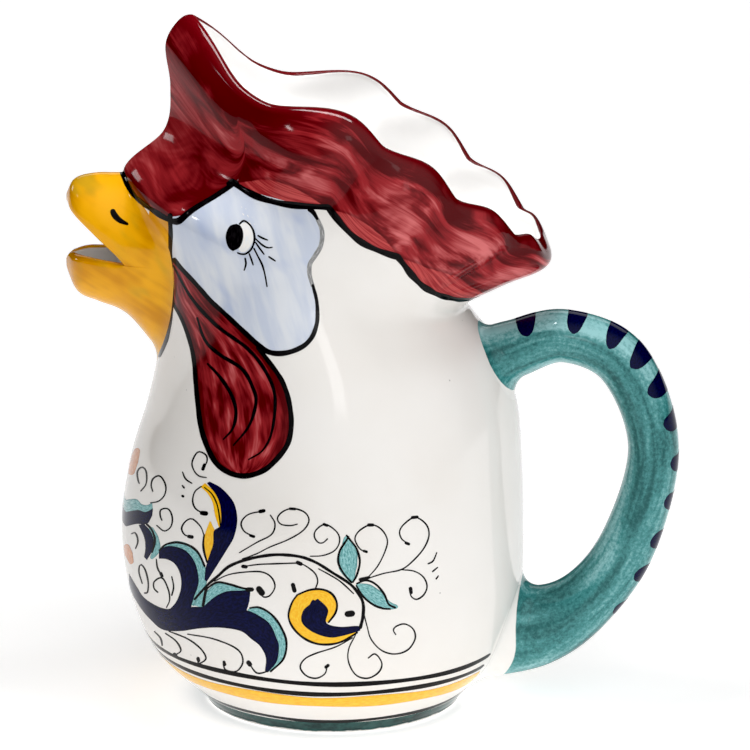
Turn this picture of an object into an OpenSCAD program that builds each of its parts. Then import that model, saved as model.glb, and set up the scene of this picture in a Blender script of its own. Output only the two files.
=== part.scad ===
// Glazed earthenware pitcher in the shape of a hen's head: the beak pours, the comb is the rim.
// Millimetres, +Z up, beak towards -X, handle towards +X, origin at the centre of the foot's rest.

/* [Foot] */
// Diameter of the foot where it stands on the table
foot_d = 89; // [70:1:110]
// Height of the turned foot ring
foot_h = 5; // [3:0.5:9]
// How far the foot flares out up to the belly
foot_flare = 3; // [1:0.5:6]
// Width of the ring that the pitcher stands on
foot_wall = 8; // [5:0.5:14]

/* [Belly] */
// Height of the belly's fullest ring
belly_z = 63; // [50:1:76]
// From the axis to the front of the breast
breast_reach = 73; // [62:1:84]
// From the axis to the back of the belly
back_reach = 66; // [56:1:76]
// Width across the belly
belly_w = 134; // [110:1:156]
// Thickness of the clay wall
wall = 4.5; // [3:0.25:6]
// Thickness of the floor over the foot
floor_t = 5; // [3:0.5:8]

/* [Neck and head] */
// Height of the neck, where the breast runs into the throat
neck_z = 124; // [114:1:132]
// From the axis to the front of the neck
neck_front = 59.5; // [52:0.5:66]
// From the axis to the back of the neck
neck_back = 57.5; // [52:0.5:64]
// Width across the neck
neck_w = 106; // [92:1:118]
// Height of the nape, the hollow under the comb's tail
nape_z = 140.5; // [137:0.5:144]
// From the axis to the nape
nape_back = 46; // [42:0.5:50]
// From the axis to the front of the throat, under the beak
throat_front = 57.5; // [50:0.5:64]
// Width across the cheeks
cheek_w = 90; // [78:1:100]
// Height of the brow, where the comb stands out over the beak
brow_z = 183; // [178:1:188]
// From the axis to the front of the brow
brow_front = 70.5; // [65:0.5:75]

/* [Comb] */
// Height of the comb's front peak, without its rounded lip
peak_z = 238.5; // [226:0.5:252]
// From the axis to the peak
peak_front = 50.5; // [45:0.5:57]
// Height of the comb's tail
tail_z = 160; // [156:0.5:166]
// From the axis to the tail's point
tail_back = 74; // [68:0.5:80]
// Width across the filling mouth's rim
rim_w = 80; // [70:1:88]
// How far the lobes puff out between their grooves
lobe_puff = 3; // [0:0.5:5]
// How far the rim rises on each lobe
lobe_rise = 4; // [0:0.5:7]
// Depth of the saddle behind the peak
saddle_dip = 8.5; // [0:0.5:12]
// Height of the rim's crown over the line from peak to tail
crown_rise = 5.5; // [0:0.5:9]

/* [Beak] */
// From the axis to the tip of the beak
beak_reach = 91.5; // [84:0.5:100]
// Height of the corner of the mouth
mouth_z = 155; // [151:0.5:159]
// From the axis to the corner of the mouth
mouth_corner = 69; // [66:0.5:75]
// How far the lower bill's lip rises from the corner to its tip
lip_rise = 2; // [0:0.5:5]
// Height of the gape at the tips of the bills
gape = 17; // [10:0.5:21]
// Width across the beak where it leaves the head
beak_w = 38; // [32:1:44]
// How far the bills' roots run back behind the front of the neck
beak_root = 14; // [10:0.5:18]
// How far the upper bill's ridge climbs from the brow's height to its root
beak_rise = 9; // [4:0.5:12]
// Thickness of the bills
bill_wall = 4.5; // [3:0.25:6]
// Diameter of the spout hole behind the beak
spout_d = 21; // [14:0.5:24]

/* [Handle] */
// Height of the middle of the grip's top bend
handle_top = 130; // [124:0.5:134]
// Height of the middle of the lower root
handle_low = 23; // [19:0.5:30]
// From the axis to the middle of the grip at its furthest
handle_reach = 110.5; // [102:0.5:122]
// Thickness of the grip seen from the side
grip_t = 18; // [14:0.5:22]
// Width of the grip across
grip_w = 21; // [16:0.5:26]

/* [Hidden] */

glaze = "#f3efeb";
comb_red = "#8a1f28";
beak_yellow = "#eaa51e";
handle_teal = "#3f9189";

// Facets round the body, a bill's arch and the grip
round_n = 72;
arch_n = 12;
grip_n = 18;
// Rows of facets up the body, its inside, the comb, the bills and the grip
body_rows = 20;
inside_rows = 14;
comb_rows = 8;
bill_rows = 14;
grip_rows = 34;
// Chamfer on the foot's edges
foot_ease = 1;
// How far a cut runs past the face that it opens
cut_over = 1;

// A value part of the way from one to another
function mix(a, b, share) = a + (b - a) * share;

// A ring holds [front x, front z, back x, back z, half width, share of the widest point, prow]:
// the share runs from the front, and a prow over 1 sharpens the front of an ellipse
foot_top = foot_d / 2 + foot_flare;
ring_foot = [-foot_top, foot_h, foot_top, foot_h, foot_top, 0.5, 1];
ring_belly = [-breast_reach, belly_z, back_reach, belly_z, belly_w / 2, 0.5, 1];
ring_neck = [-neck_front, neck_z, neck_back, neck_z, neck_w / 2, 0.5, 1];
ring_throat = [-throat_front, mix(neck_z, mouth_z, 0.6), mix(neck_back, nape_back, 0.74),
               mix(neck_z, nape_z, 0.7), mix(neck_w, cheek_w, 0.56) / 2, 0.5, 1];
ring_cheek = [-mix(throat_front, brow_front, 0.2), mix(mouth_z, brow_z, 0.27), nape_back, nape_z,
              cheek_w / 2, 0.51, 1.1];
ring_brow = [-brow_front, brow_z, mix(nape_back, tail_back, 0.18), mix(nape_z, tail_z, 0.22),
             mix(cheek_w, rim_w, 0.3) / 2, 0.54, 1.5];
ring_rim = [-peak_front, peak_z, tail_back, tail_z, rim_w / 2, 0.55, 2];

// A ring between two others, each of its values by its own share
function blend(a, b, shares) = [for (i = [0:len(a) - 1]) mix(a[i], b[i], shares[i])];

RINGS = [
    ring_foot,
    blend(ring_foot, ring_belly, [0.58, 0.25, 0.65, 0.26, 0.64, 0, 0]),
    blend(ring_foot, ring_belly, [0.91, 0.61, 0.97, 0.63, 0.95, 0, 0]),
    ring_belly,
    blend(ring_belly, ring_neck, [0.26, 0.38, 0.08, 0.36, 0.21, 0, 0]),
    blend(ring_belly, ring_neck, [0.70, 0.70, 0.29, 0.69, 0.61, 0, 0]),
    ring_neck,
    ring_throat,
    ring_cheek,
    ring_brow,
    blend(ring_brow, ring_rim, [0.85, 0.27, 0.37, 0.40, 0.25, 0.17, 0.67]),
    blend(ring_brow, ring_rim, [1.02, 0.53, 0.70, 0.66, 0.50, 0.50, 1]),
    blend(ring_brow, ring_rim, [0.91, 0.80, 0.89, 0.84, 0.78, 0.83, 1]),
    ring_rim];
TOP = len(RINGS) - 1;

// Lobes of the comb: shares of the length from front to back at the lower cusps and at the rim's dips
CUSPS = [0.215, 0.466, 0.698, 0.875, 1.04];
DIPS = [0.264, 0.544, 0.753, 0.918, 1.04];
// The comb's lower edge: the cusps that it has, and the shares of the rows that it reaches in front,
// at each of those cusps, and less in the middle of a scallop
EDGE_CUSPS = [CUSPS[0], CUSPS[1], CUSPS[2], CUSPS[4]];
EDGE_SHARES = [0.764, 0.822, 0.779, 0.685];
front_edge_share = 0.674;
scallop_share = 0.018;
// How late the edge climbs from the front to its first cusp
climb_ratio = 12;
// Share of the widest point on which the edge is laid out
edge_share = 0.55;
// Shape of a lobe: how far it leans to the tail, how full it is across at the comb's edge and at its
// rim, and how full it is up the comb
lean_ratio = 1.29;
lobe_ratio = 0.7;
rim_ratio = 1.35;
puff_ratio = 0.8;
// How much of the lobes' puff shows on the comb's smoother inside
inside_puff_share = 0.4;
// Rows under the rim that give the lip its direction
lip_ratio = 0.3;
// The rim's crown and saddle: where they lie along the length, and how far they spread
crown_share = 0.535;
crown_spread_share = 0.275;
saddle_share = 0.213;
saddle_spread_share = 0.137;
// Where the rim's waves begin, and the shares over which they fade in and out
wave_share = 0.18;
wave_fade_share = 0.12;
tail_fade_share = 0.06;
// Share of a lobe's rise by which the dips lie under the rim's line
dip_share = 0.2;

// A smooth curve through the rows of a table: a cubic that passes through every row
function spline(a, b, c, d, f) =
    (2 * b + (c - a) * f + (2 * a - 5 * b + 4 * c - d) * f * f
     + (3 * b - a - 3 * c + d) * f * f * f) / 2;
function row_at(rows, u) =
    let (n = len(rows) - 1, i = max(0, min(n - 1, floor(u))), b = rows[i], c = rows[i + 1],
         a = i > 0 ? rows[i - 1] : 2 * b - c, d = i < n - 1 ? rows[i + 2] : 2 * c - b)
    spline(a, b, c, d, u - i);

function clamp01(x) = max(0, min(1, x));
function smooth01(x) = let (c = clamp01(x)) c * c * (3 - 2 * c);
function bell(x, middle, width) = exp(-pow((x - middle) / width, 2));
function unit(v) = v / norm(v);

// Share of the length from front to back at an angle round a ring
function share_at(a, widest) = cos(a) > 0 ? widest * (1 - cos(a)) : widest - (1 - widest) * cos(a);

// Which stretch between marks a share lies in, and how far along it, from 0 to 1
function stretch(s, marks) = max([for (i = [0:len(marks) - 2]) if (i == 0 || s >= marks[i]) i]);
function along(s, marks, i) = clamp01((s - marks[i]) / (marks[i + 1] - marks[i]));

// The row where the white head ends and the comb begins, a scalloped line
function comb_edge(a) =
    let (s = share_at(a, edge_share))
    s < EDGE_CUSPS[0]
        ? TOP * mix(front_edge_share, EDGE_SHARES[0], pow(s / EDGE_CUSPS[0], climb_ratio))
        : let (i = stretch(s, EDGE_CUSPS), f = along(s, EDGE_CUSPS, i))
          TOP * (mix(EDGE_SHARES[i], EDGE_SHARES[i + 1], f) - scallop_share * sin(180 * f));

// Wave of the lobes, 0 in a groove and 1 on a lobe, at a height v from comb edge to rim
function lobe_wave(s, v) =
    let (marks = CUSPS + (DIPS - CUSPS) * v, ratio = mix(lobe_ratio, rim_ratio, v))
    s < marks[0]
        ? pow(cos(90 * s / marks[0]), ratio)
        : let (i = stretch(s, marks)) pow(sin(180 * pow(along(s, marks, i), lean_ratio)), ratio);

// Lift of the rim over the straight line from peak to tail
function rim_lift(s) =
    crown_rise * bell(s, crown_share, crown_spread_share)
    - saddle_dip * bell(s, saddle_share, saddle_spread_share)
    + lobe_rise * (lobe_wave(s, 1) - dip_share) * smooth01((s - wave_share) / wave_fade_share)
      * smooth01((1 - s) / tail_fade_share);

// A ring with its front, back and sides moved in by the wall, square to the front and back curves
function inset_row(u, inset) =
    let (r = row_at(RINGS, u), step = row_at(RINGS, min(TOP, u + 0.05)) - row_at(RINGS, max(0, u - 0.05)),
         f = unit([step[0], step[1]]), b = unit([step[2], step[3]]))
    [r[0] + inset * f[1], r[1] - inset * f[0], r[2] - inset * b[1], r[3] + inset * b[0],
     r[4] - inset, r[5], r[6]];

// Up, square to a ring's line from front to back
function ring_up(r) = let (c = unit([r[2] - r[0], r[3] - r[1]])) [-c[1], 0, c[0]];

// A point of the clay's skin at an angle round the ring and a row up the body
function skin(a, u, inset = 0) =
    let (r = inset_row(u, inset), edge = comb_edge(a), v = clamp01((u - edge) / (TOP - edge)),
         s = share_at(a, r[5]),
         swell = lobe_puff * (inset > 0 ? inside_puff_share : 1) * pow(sin(180 * v), puff_ratio),
         puff = 1 + swell * lobe_wave(s, v) / r[4],
         t = r[5] + (s - r[5]) * puff,
         side = pow(abs(sin(a)), cos(a) > 0 ? r[6] : 1) * sign(sin(a)) * r[4] * puff)
    [r[0] + t * (r[2] - r[0]), -side, r[1] + t * (r[3] - r[1])]
    + ring_up(r) * rim_lift(s) * smooth01(v);

angles = [for (k = [0:round_n - 1]) 360 * k / round_n];
function skin_ring(f, inset, from_edge) =
    [for (a = angles) let (e = comb_edge(a)) skin(a, from_edge ? e + (TOP - e) * f : e * f, inset)];

// The inside never goes below the floor
function inside_ring(f, from_edge) =
    [for (p = skin_ring(f, wall, from_edge)) [p[0], p[1], max(p[2], foot_h + floor_t)]];

function total(list, i = 0) = i == len(list) - 1 ? list[i] : list[i] + total(list, i + 1);
function middle(ring) = total(ring) / len(ring);
function steps(n) = [for (i = [0:n]) i / n];

// A solid skinned over rings of equal count, closed by a fan at each end
module skinned(rings) {
    n = len(rings[0]);
    m = len(rings);
    points = concat([for (r = rings) each r], [middle(rings[0]), middle(rings[m - 1])]);
    sides = [for (i = [0:m - 2], k = [0:n - 1]) let (j = (k + 1) % n, p = i * n, q = p + n)
             each [[p + k, q + k, q + j], [p + k, q + j, p + j]]];
    ends = [for (k = [0:n - 1]) let (j = (k + 1) % n, p = (m - 1) * n)
            each [[m * n, k, j], [m * n + 1, p + j, p + k]]];
    polyhedron(points, concat(sides, ends), convexity = 6);
}

// A tube-like wall skinned over rings, the last joined to the first
module skinned_loop(rings) {
    n = len(rings[0]);
    m = len(rings);
    sides = [for (i = [0:m - 1], k = [0:n - 1]) let (j = (k + 1) % n, p = i * n, q = ((i + 1) % m) * n)
             each [[p + k, q + k, q + j], [p + k, q + j, p + j]]];
    polyhedron([for (r = rings) each r], sides, convexity = 6);
}

// The whole outside as one closed form, which the beak and the handle are cut to sit on
module outside() {
    skinned(concat([for (f = steps(body_rows)) skin_ring(f, 0, false)],
                   [for (f = steps(comb_rows)) if (f > 0) skin_ring(f, 0, true)]));
}

module body_shell() {
    color(glaze) difference() {
        skinned(concat([for (f = steps(body_rows)) skin_ring(f, 0, false)],
                       [for (f = steps(inside_rows)) inside_ring(1 - f, false)]));
        translate([-beak_reach, 0, mouth_z]) rotate([0, 90, 0])
            cylinder(d = spout_d, h = beak_reach - neck_front / 2, $fn = 48);
    }
}

module foot_ring() {
    outer = foot_d / 2;
    inner = outer - foot_wall;
    color(glaze) rotate_extrude($fn = 120) polygon([
        [inner + foot_ease, 0], [outer - foot_ease, 0], [outer, foot_ease], [foot_top, foot_h],
        [inner, foot_h], [inner, foot_ease]]);
}

// The lip is half round: it goes from the outer to the inner rim over the way that the wall runs out
function lip_ring(turn) =
    [for (a = angles)
        let (o = skin(a, TOP), i = skin(a, TOP, wall), ends = unit(o - skin(a, TOP - lip_ratio)))
        (o + i) / 2 + cos(turn) * (o - i) / 2 + sin(turn) * norm(o - i) / 2 * ends];

module comb_rim() {
    color(comb_red) skinned_loop(concat(
        [for (f = steps(comb_rows)) skin_ring(f, 0, true)],
        [for (turn = [45, 90, 135]) lip_ring(turn)],
        [for (f = steps(comb_rows)) inside_ring(1 - f, true)]));
}

// A bill's row holds shares: of the way from its root to its tip, of the climb of its ridge and of its
// width at the root. The upper ridge climbs from the brow's height, the lower one from neck to mouth.
UPPER_SHARES = [[0, 1, 1.16], [0.27, 0.45, 0.97], [0.53, 0.14, 0.79], [0.76, 0.09, 0.63],
                [0.91, -0.1, 0.45], [0.99, -0.55, 0.13]];
LOWER_SHARES = [[0, -0.45, 1.16], [0.27, -0.11, 0.97], [0.53, 0.34, 0.81], [0.75, 0.485, 0.68],
                [0.91, 0.62, 0.47], [1, 0.87, 0.14]];
hollow_share = 0.78;

// A row in sizes is [x, height of its ridge, half width]; its edge is the line of the mouth
function bill_rows_at(shares, from, climb) =
    [for (b = shares)
        [mix(beak_root - neck_front, -beak_reach, b[0]), from + climb * b[1], b[2] * beak_w / 2]];
UPPER = bill_rows_at(UPPER_SHARES, brow_z, beak_rise);
LOWER = bill_rows_at(LOWER_SHARES, neck_z, mouth_z - neck_z);

// The lips' heights: both bills' edges rise from the corner of the mouth to the tips
function lip_at(x, way) =
    mouth_z + (lip_rise + (way > 0 ? gape : 0)) * clamp01((-mouth_corner - x) / (beak_reach - mouth_corner));

// An arch over the edge, up for the upper bill and down for the lower one
function bill_ring(rows, u, way, inset) =
    let (r = row_at(rows, u), edge = lip_at(r[0], way) - way * (inset > 0 ? cut_over : 0),
         w = r[2] - inset, h = r[1] - way * inset - edge)
    [for (t = steps(arch_n)) [r[0], -way * w * cos(180 * t), edge + h * sin(180 * t)]];

module bill(rows, way) {
    last = len(rows) - 1;
    difference() {
        skinned([for (f = steps(bill_rows)) bill_ring(rows, f * last, way, 0)]);
        skinned([for (f = steps(bill_rows)) bill_ring(rows, f * last * hollow_share, way, bill_wall)]);
        outside();
    }
}

module upper_bill() { color(beak_yellow) bill(UPPER, 1); }
module lower_bill() { color(beak_yellow) bill(LOWER, -1); }

// The grip's path: shares of the way from the belly's back to the furthest reach and from the lower
// root up to the top bend, then the grip's thickness and width as shares of their sizes
GRIP_SHARES = [
    [-0.33, 0.91, 1.25, 1.2], [-0.08, 0.955, 1.1, 1.06], [0.31, 1, 1, 1], [0.76, 0.915, 1.03, 1],
    [1, 0.645, 0.97, 1], [0.83, 0.33, 1.08, 1], [0.51, 0.13, 1.2, 1.05], [0.11, 0.03, 1.6, 1.2],
    [-0.45, 0.015, 2.1, 1.4]];
GRIP = [for (g = GRIP_SHARES) [
    back_reach + (handle_reach - back_reach) * g[0], handle_low + (handle_top - handle_low) * g[1],
    g[2] * grip_t / 2, g[3] * grip_w / 2]];

function grip_ring(u) =
    let (r = row_at(GRIP, u), last = len(GRIP) - 1,
         step = row_at(GRIP, min(last, u + 0.05)) - row_at(GRIP, max(0, u - 0.05)),
         t = unit([step[0], 0, step[1]]), out = [-t[2], 0, t[0]], across = cross(t, out))
    [for (k = [0:grip_n - 1]) let (a = 360 * k / grip_n)
        [r[0], 0, r[1]] + out * r[2] * cos(a) + across * r[3] * sin(a)];

module handle() {
    color(handle_teal) difference() {
        skinned([for (f = steps(grip_rows)) grip_ring(f * (len(GRIP) - 1))]);
        outside();
    }
}

body_shell();
foot_ring();
comb_rim();
upper_bill();
lower_bill();
handle();
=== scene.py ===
import math

import bpy
import numpy as np
from bpy.props import FloatProperty, FloatVectorProperty, PointerProperty
from bpy.types import Operator, Panel, PropertyGroup
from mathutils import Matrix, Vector


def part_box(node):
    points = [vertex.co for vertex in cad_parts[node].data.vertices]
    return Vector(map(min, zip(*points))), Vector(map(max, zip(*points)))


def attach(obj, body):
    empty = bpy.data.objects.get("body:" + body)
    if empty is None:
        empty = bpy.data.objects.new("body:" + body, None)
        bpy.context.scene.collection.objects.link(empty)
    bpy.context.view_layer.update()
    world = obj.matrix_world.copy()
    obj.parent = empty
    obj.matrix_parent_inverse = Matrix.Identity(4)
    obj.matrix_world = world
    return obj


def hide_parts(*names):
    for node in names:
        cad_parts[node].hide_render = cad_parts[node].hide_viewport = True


bl_info = {
    "name": "Hen Pitcher",
    "version": (1, 0, 0),
    "blender": (4, 5, 0),
    "location": "3D View > Sidebar > Pitcher",
    "description": "Builds a glazed, hand-painted pitcher in the shape of a hen's head",
    "category": "Add Mesh",
}

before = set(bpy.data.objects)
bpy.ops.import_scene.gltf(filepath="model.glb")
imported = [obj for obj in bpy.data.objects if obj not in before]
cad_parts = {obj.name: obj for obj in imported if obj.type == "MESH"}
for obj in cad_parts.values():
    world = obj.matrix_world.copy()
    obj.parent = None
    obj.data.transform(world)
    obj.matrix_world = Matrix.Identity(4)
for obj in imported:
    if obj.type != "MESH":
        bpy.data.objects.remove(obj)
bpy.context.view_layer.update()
MM = 0.001


# Properties

def length(name, millimetres, description):
    """A size in metres whose default is given in millimetres."""
    return FloatProperty(name=name, description=description, default=millimetres * MM, min=0,
                         unit="LENGTH", subtype="DISTANCE", precision=4)


def degrees(name, angle, description):
    return FloatProperty(name=name, description=description, default=math.radians(angle),
                         unit="ROTATION", subtype="ANGLE")


def colour(name, red, green, blue, description):
    """A linear colour whose default is given as it looks on a screen, from 0 to 255."""
    screen = (red / 255, green / 255, blue / 255)
    linear = [c / 12.92 if c <= 0.04045 else ((c + 0.055) / 1.055) ** 2.4 for c in screen]
    return FloatVectorProperty(name=name, description=description, default=linear, size=3,
                               subtype="COLOR", min=0, max=1)


class ClaySizes(PropertyGroup):
    """The pitcher's driving sizes, the same as in its solids."""
    foot_d: length("Foot diameter", 89, "Across the foot where it stands on the table")
    foot_h: length("Foot height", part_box("foot_ring")[1].z / MM, "Height of the turned foot ring")
    foot_flare: length("Foot flare", 3, "How far the foot flares out up to the belly")
    foot_wall: length("Foot wall", 8, "Width of the ring that the pitcher stands on")
    belly_z: length("Belly height", 63, "Height of the belly's fullest ring")
    breast_reach: length("Breast reach", 73, "From the axis to the front of the breast")
    back_reach: length("Back reach", 66, "From the axis to the back of the belly")
    belly_w: length("Belly width", 133.6, "Width across the belly")
    wall: length("Wall", 4.5, "Thickness of the clay wall")
    floor_t: length("Floor", 5, "Thickness of the floor over the foot")
    neck_z: length("Neck height", 124, "Height where the breast runs into the throat")
    neck_front: length("Neck front", 59.5, "From the axis to the front of the neck")
    neck_back: length("Neck back", 57.5, "From the axis to the back of the neck")
    neck_w: length("Neck width", 106, "Width across the neck")
    throat_front: length("Throat front", 57.5, "From the axis to the front of the throat")
    nape_z: length("Nape height", 140.5, "Height of the hollow under the comb's tail")
    nape_back: length("Nape", 46, "From the axis to the nape")
    cheek_w: length("Cheek width", 90, "Width across the cheeks")
    brow_z: length("Brow height", 183, "Height where the comb stands out over the beak")
    brow_front: length("Brow front", 70.5, "From the axis to the front of the brow")
    peak_z: length("Peak height", 238.2, "Height of the comb's front peak without its lip")
    peak_front: length("Peak front", 50.5, "From the axis to the peak")
    tail_z: length("Tail height", 160, "Height of the comb's tail")
    tail_back: length("Tail back", 74, "From the axis to the tail's point")
    rim_w: length("Rim width", 80, "Width across the filling mouth's rim")
    lobe_puff: length("Lobe puff", 3, "How far the comb's lobes puff out between their grooves")
    lobe_rise: length("Lobe rise", 4, "How far the rim rises on each lobe")
    saddle_dip: length("Saddle dip", 8.5, "Depth of the saddle behind the peak")
    crown_rise: length("Crown rise", 5.5, "Height of the rim's crown over the line from peak to tail")
    beak_reach: length("Beak reach", -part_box("lower_bill")[0].x / MM, "From the axis to the beak's tip")
    mouth_z: length("Mouth height", 155, "Height of the corner of the mouth")
    mouth_corner: length("Mouth corner", 69, "From the axis to the corner of the mouth")
    lip_rise: length("Lip rise", 2, "How far the lower bill's lip rises from the corner to its tip")
    gape: length("Gape", 17, "Height of the gape at the tips of the bills")
    beak_w: length("Beak width", 38, "Width across the beak where it leaves the head")
    beak_root: length("Beak root", 14, "How far the bills' roots run back behind the neck's front")
    beak_rise: length("Beak rise", 9, "How far the upper bill's ridge climbs to its root")
    bill_wall: length("Bill wall", 4.5, "Thickness of the bills")
    spout_d: length("Spout hole", 21, "Diameter of the hole behind the beak")
    handle_top: length("Handle top", 130, "Height of the middle of the grip's top bend")
    handle_low: length("Handle root", 23, "Height of the middle of the lower root")
    handle_reach: length("Handle reach", 110.3, "From the axis to the grip at its furthest")
    grip_t: length("Grip thickness", 18, "Thickness of the grip seen from the side")
    grip_w: length("Grip width", 21, "Width of the grip across")


class PaintColours(PropertyGroup):
    """The glaze and the pigments under it."""
    glaze: colour("Glaze", 240, 237, 233, "White tin glaze")
    # Inside glaze: a brighter copy of the white glaze, painted light on the shaded walls inside the comb and
    # the beak
    inside_glaze_painted_light: colour("Inside glaze", 251, 250, 249, "Clean white glaze inside the comb and the beak")
    red: colour("Comb red", 156, 40, 45, "Brushed red of the comb and wattles")
    # Dark red: the red's own darker marks, and also the painted shade in the comb's grooves
    red_dark: colour("Dark red", 84, 8, 13, "Red where it pools in the grooves")
    red_bright: colour("Bright red", 204, 82, 80, "Strip of red along the comb's outline")
    # Light red: where the brush leaves the red thin, and also the painted light on the comb's lobes
    red_light: colour("Light red", 226, 126, 126, "Red where the brush leaves it thin")
    yellow: colour("Beak yellow", 246, 176, 22, "Yellow of the beak and the foot's band")
    yellow_dark: colour("Dark yellow", 214, 142, 6, "Yellow where it pools")
    yellow_green: colour("Green yellow", 190, 152, 36, "Greenish brush marks in the yellow")
    teal: colour("Teal", 72, 142, 142, "Teal of the handle and the leaves")
    # Dark teal: where the teal pools, and also the painted shade on the grip's inner side
    teal_dark: colour("Dark teal", 24, 88, 88, "Teal where it pools")
    teal_light: colour("Light teal", 156, 208, 210, "Teal where the brush leaves it thin")
    # Foot teals: darker copies of the teal, painted shade round the low foot; the darker one also where the
    # teal pools
    shaded_foot_teal: colour("Foot teal", 46, 86, 82, "Teal round the foot")
    shaded_foot_dark: colour("Dark foot teal", 18, 48, 46, "Teal round the foot where it pools")
    navy: colour("Navy", 8, 10, 38, "Deep blue of the scrolls")
    black: colour("Black", 12, 11, 12, "Brush lines")
    wash: colour("Face wash", 200, 208, 224, "Pale blue wash of the face")
    wash_blue: colour("Wash blue", 160, 177, 216, "Brush marks in the face's wash")
    peach: colour("Peach", 216, 142, 98, "Buds on the breast")


class StudioSettings(PropertyGroup):
    """The view of the photograph and the floor."""
    elevation: degrees("Elevation", 15, "How far the camera looks down")
    azimuth: degrees("Azimuth", 5, "How far the camera stands to the handle's side")
    distance: length("Distance", 1500, "From the camera to the point it looks at")
    target: FloatVectorProperty(name="Target", description="The point that the camera looks at",
                                default=(0.01468, 0, 0.11469), size=3, subtype="TRANSLATION")
    scale: FloatProperty(name="Scale", description="Pixels of the photograph to a metre there",
                         default=2918)
    floor: colour("Floor", 250, 250, 250, "Plain pale floor")


# Curves and steps

ROW_STEP = 0.05


def mix(a, b, share):
    return a + (b - a) * share


def clamp01(x):
    return np.clip(x, 0, 1)


def smooth01(x):
    """Smooth step from 0 to 1."""
    c = clamp01(x)
    return c * c * (3 - 2 * c)


def bell(x, middle, width):
    return np.exp(-((x - middle) / width) ** 2)


def unit(v):
    return v / np.linalg.norm(v, axis=-1, keepdims=True)


def row_at(rows, u):
    """Rows of a table as a smooth curve: on each stretch a cubic that passes through both of its ends."""
    u = np.asarray(u, float)
    last = len(rows) - 1
    i = np.clip(np.floor(u).astype(int), 0, last - 1)
    f = (u - i)[..., None]
    b, c = rows[i], rows[i + 1]
    a = np.where((i > 0)[..., None], rows[np.maximum(i - 1, 0)], 2 * b - c)
    d = np.where((i < last - 1)[..., None], rows[np.minimum(i + 2, last)], 2 * c - b)
    return (2 * b + (c - a) * f + (2 * a - 5 * b + 4 * c - d) * f**2
            + (3 * b - a - 3 * c + d) * f**3) / 2


def row_slope(rows, u):
    """How such a curve runs at u: its point a little after u, less its point a little before."""
    return row_at(rows, np.minimum(len(rows) - 1, u + ROW_STEP)) - row_at(rows, np.maximum(0, u - ROW_STEP))


def share_at(a, widest):
    """Share of the length from front to back at an angle round a ring."""
    c = np.cos(a)
    return np.where(c > 0, widest * (1 - c), widest - (1 - widest) * c)


# The clay's form

# Shares between sizes: rings between foot, belly, neck, brow and rim, and where throat, cheek and brow lie
BELLY_SHARES = np.array([[0.58, 0.25, 0.65, 0.26, 0.64, 0, 0], [0.91, 0.61, 0.97, 0.63, 0.95, 0, 0]])
NECK_SHARES = np.array([[0.26, 0.38, 0.08, 0.36, 0.21, 0, 0], [0.7, 0.7, 0.29, 0.69, 0.61, 0, 0]])
COMB_SHARES = np.array([[0.85, 0.27, 0.37, 0.4, 0.25, 0.17, 0.67], [1.02, 0.53, 0.7, 0.66, 0.5, 0.5, 1],
                        [0.91, 0.8, 0.89, 0.84, 0.78, 0.83, 1]])
THROAT_SHARES, CHEEK_SHARES, BROW_SHARES = (0.6, 0.74, 0.7, 0.56), (0.2, 0.27), (0.18, 0.22, 0.3)
# The comb: shares from front to back at which its edge's cusps and its rim's dips lie, and its waves
CUSPS = np.array([0.215, 0.466, 0.698, 0.875, 1.04])
DIPS = np.array([0.264, 0.544, 0.753, 0.918, 1.04])
EDGE_CUSPS = CUSPS[[0, 1, 2, 4]]
EDGE_SHARES = np.array([0.767, 0.822, 0.779, 0.685])
FRONT_EDGE, SCALLOP, EDGE_SHARE = 0.677, 0.018, 0.55
EDGE_CLIMB, EDGE_ROUND = 11, 0.4
LOBE_LEAN, LOBE_ROUND, RIM_ROUND, PUFF_ROUND, INSIDE_PUFF = 1.29, 0.7, 1.35, 0.8, 0.4
CROWN, SADDLE = (0.535, 0.275), (0.213, 0.137)
WAVE_START, WAVE_FADE, TAIL_FADE, DIP_SHARE = 0.18, 0.12, 0.06, 0.2
# Rows of the bills: shares of their reach, their climb and their width
UPPER_SHARES = np.array([[0, 1, 1.16], [0.27, 0.45, 0.97], [0.53, 0.14, 0.79], [0.76, 0.09, 0.63],
                         [0.91, -0.1, 0.45], [0.99, -0.55, 0.13]])
LOWER_SHARES = np.array([[0, -0.45, 1.16], [0.27, -0.11, 0.97], [0.53, 0.34, 0.81], [0.75, 0.485, 0.68],
                         [0.91, 0.57, 0.5], [1, 0.74, 0.2]])
TIP_STARTS = {True: 4.3, False: 3.35}
# Rows of the grip: shares of its reach and its height, its thickness and its width
GRIP_SHARES = np.array([
    [-0.33, 0.91, 1.25, 1.2], [-0.08, 0.955, 1.1, 1.06], [0.31, 1, 1, 1], [0.76, 0.915, 1.03, 1],
    [1, 0.645, 0.97, 1], [0.83, 0.33, 1.08, 1], [0.51, 0.13, 1.2, 1.05], [0.11, 0.03, 1.6, 1.2],
    [-0.45, 0.015, 2.1, 1.4]])


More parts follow.
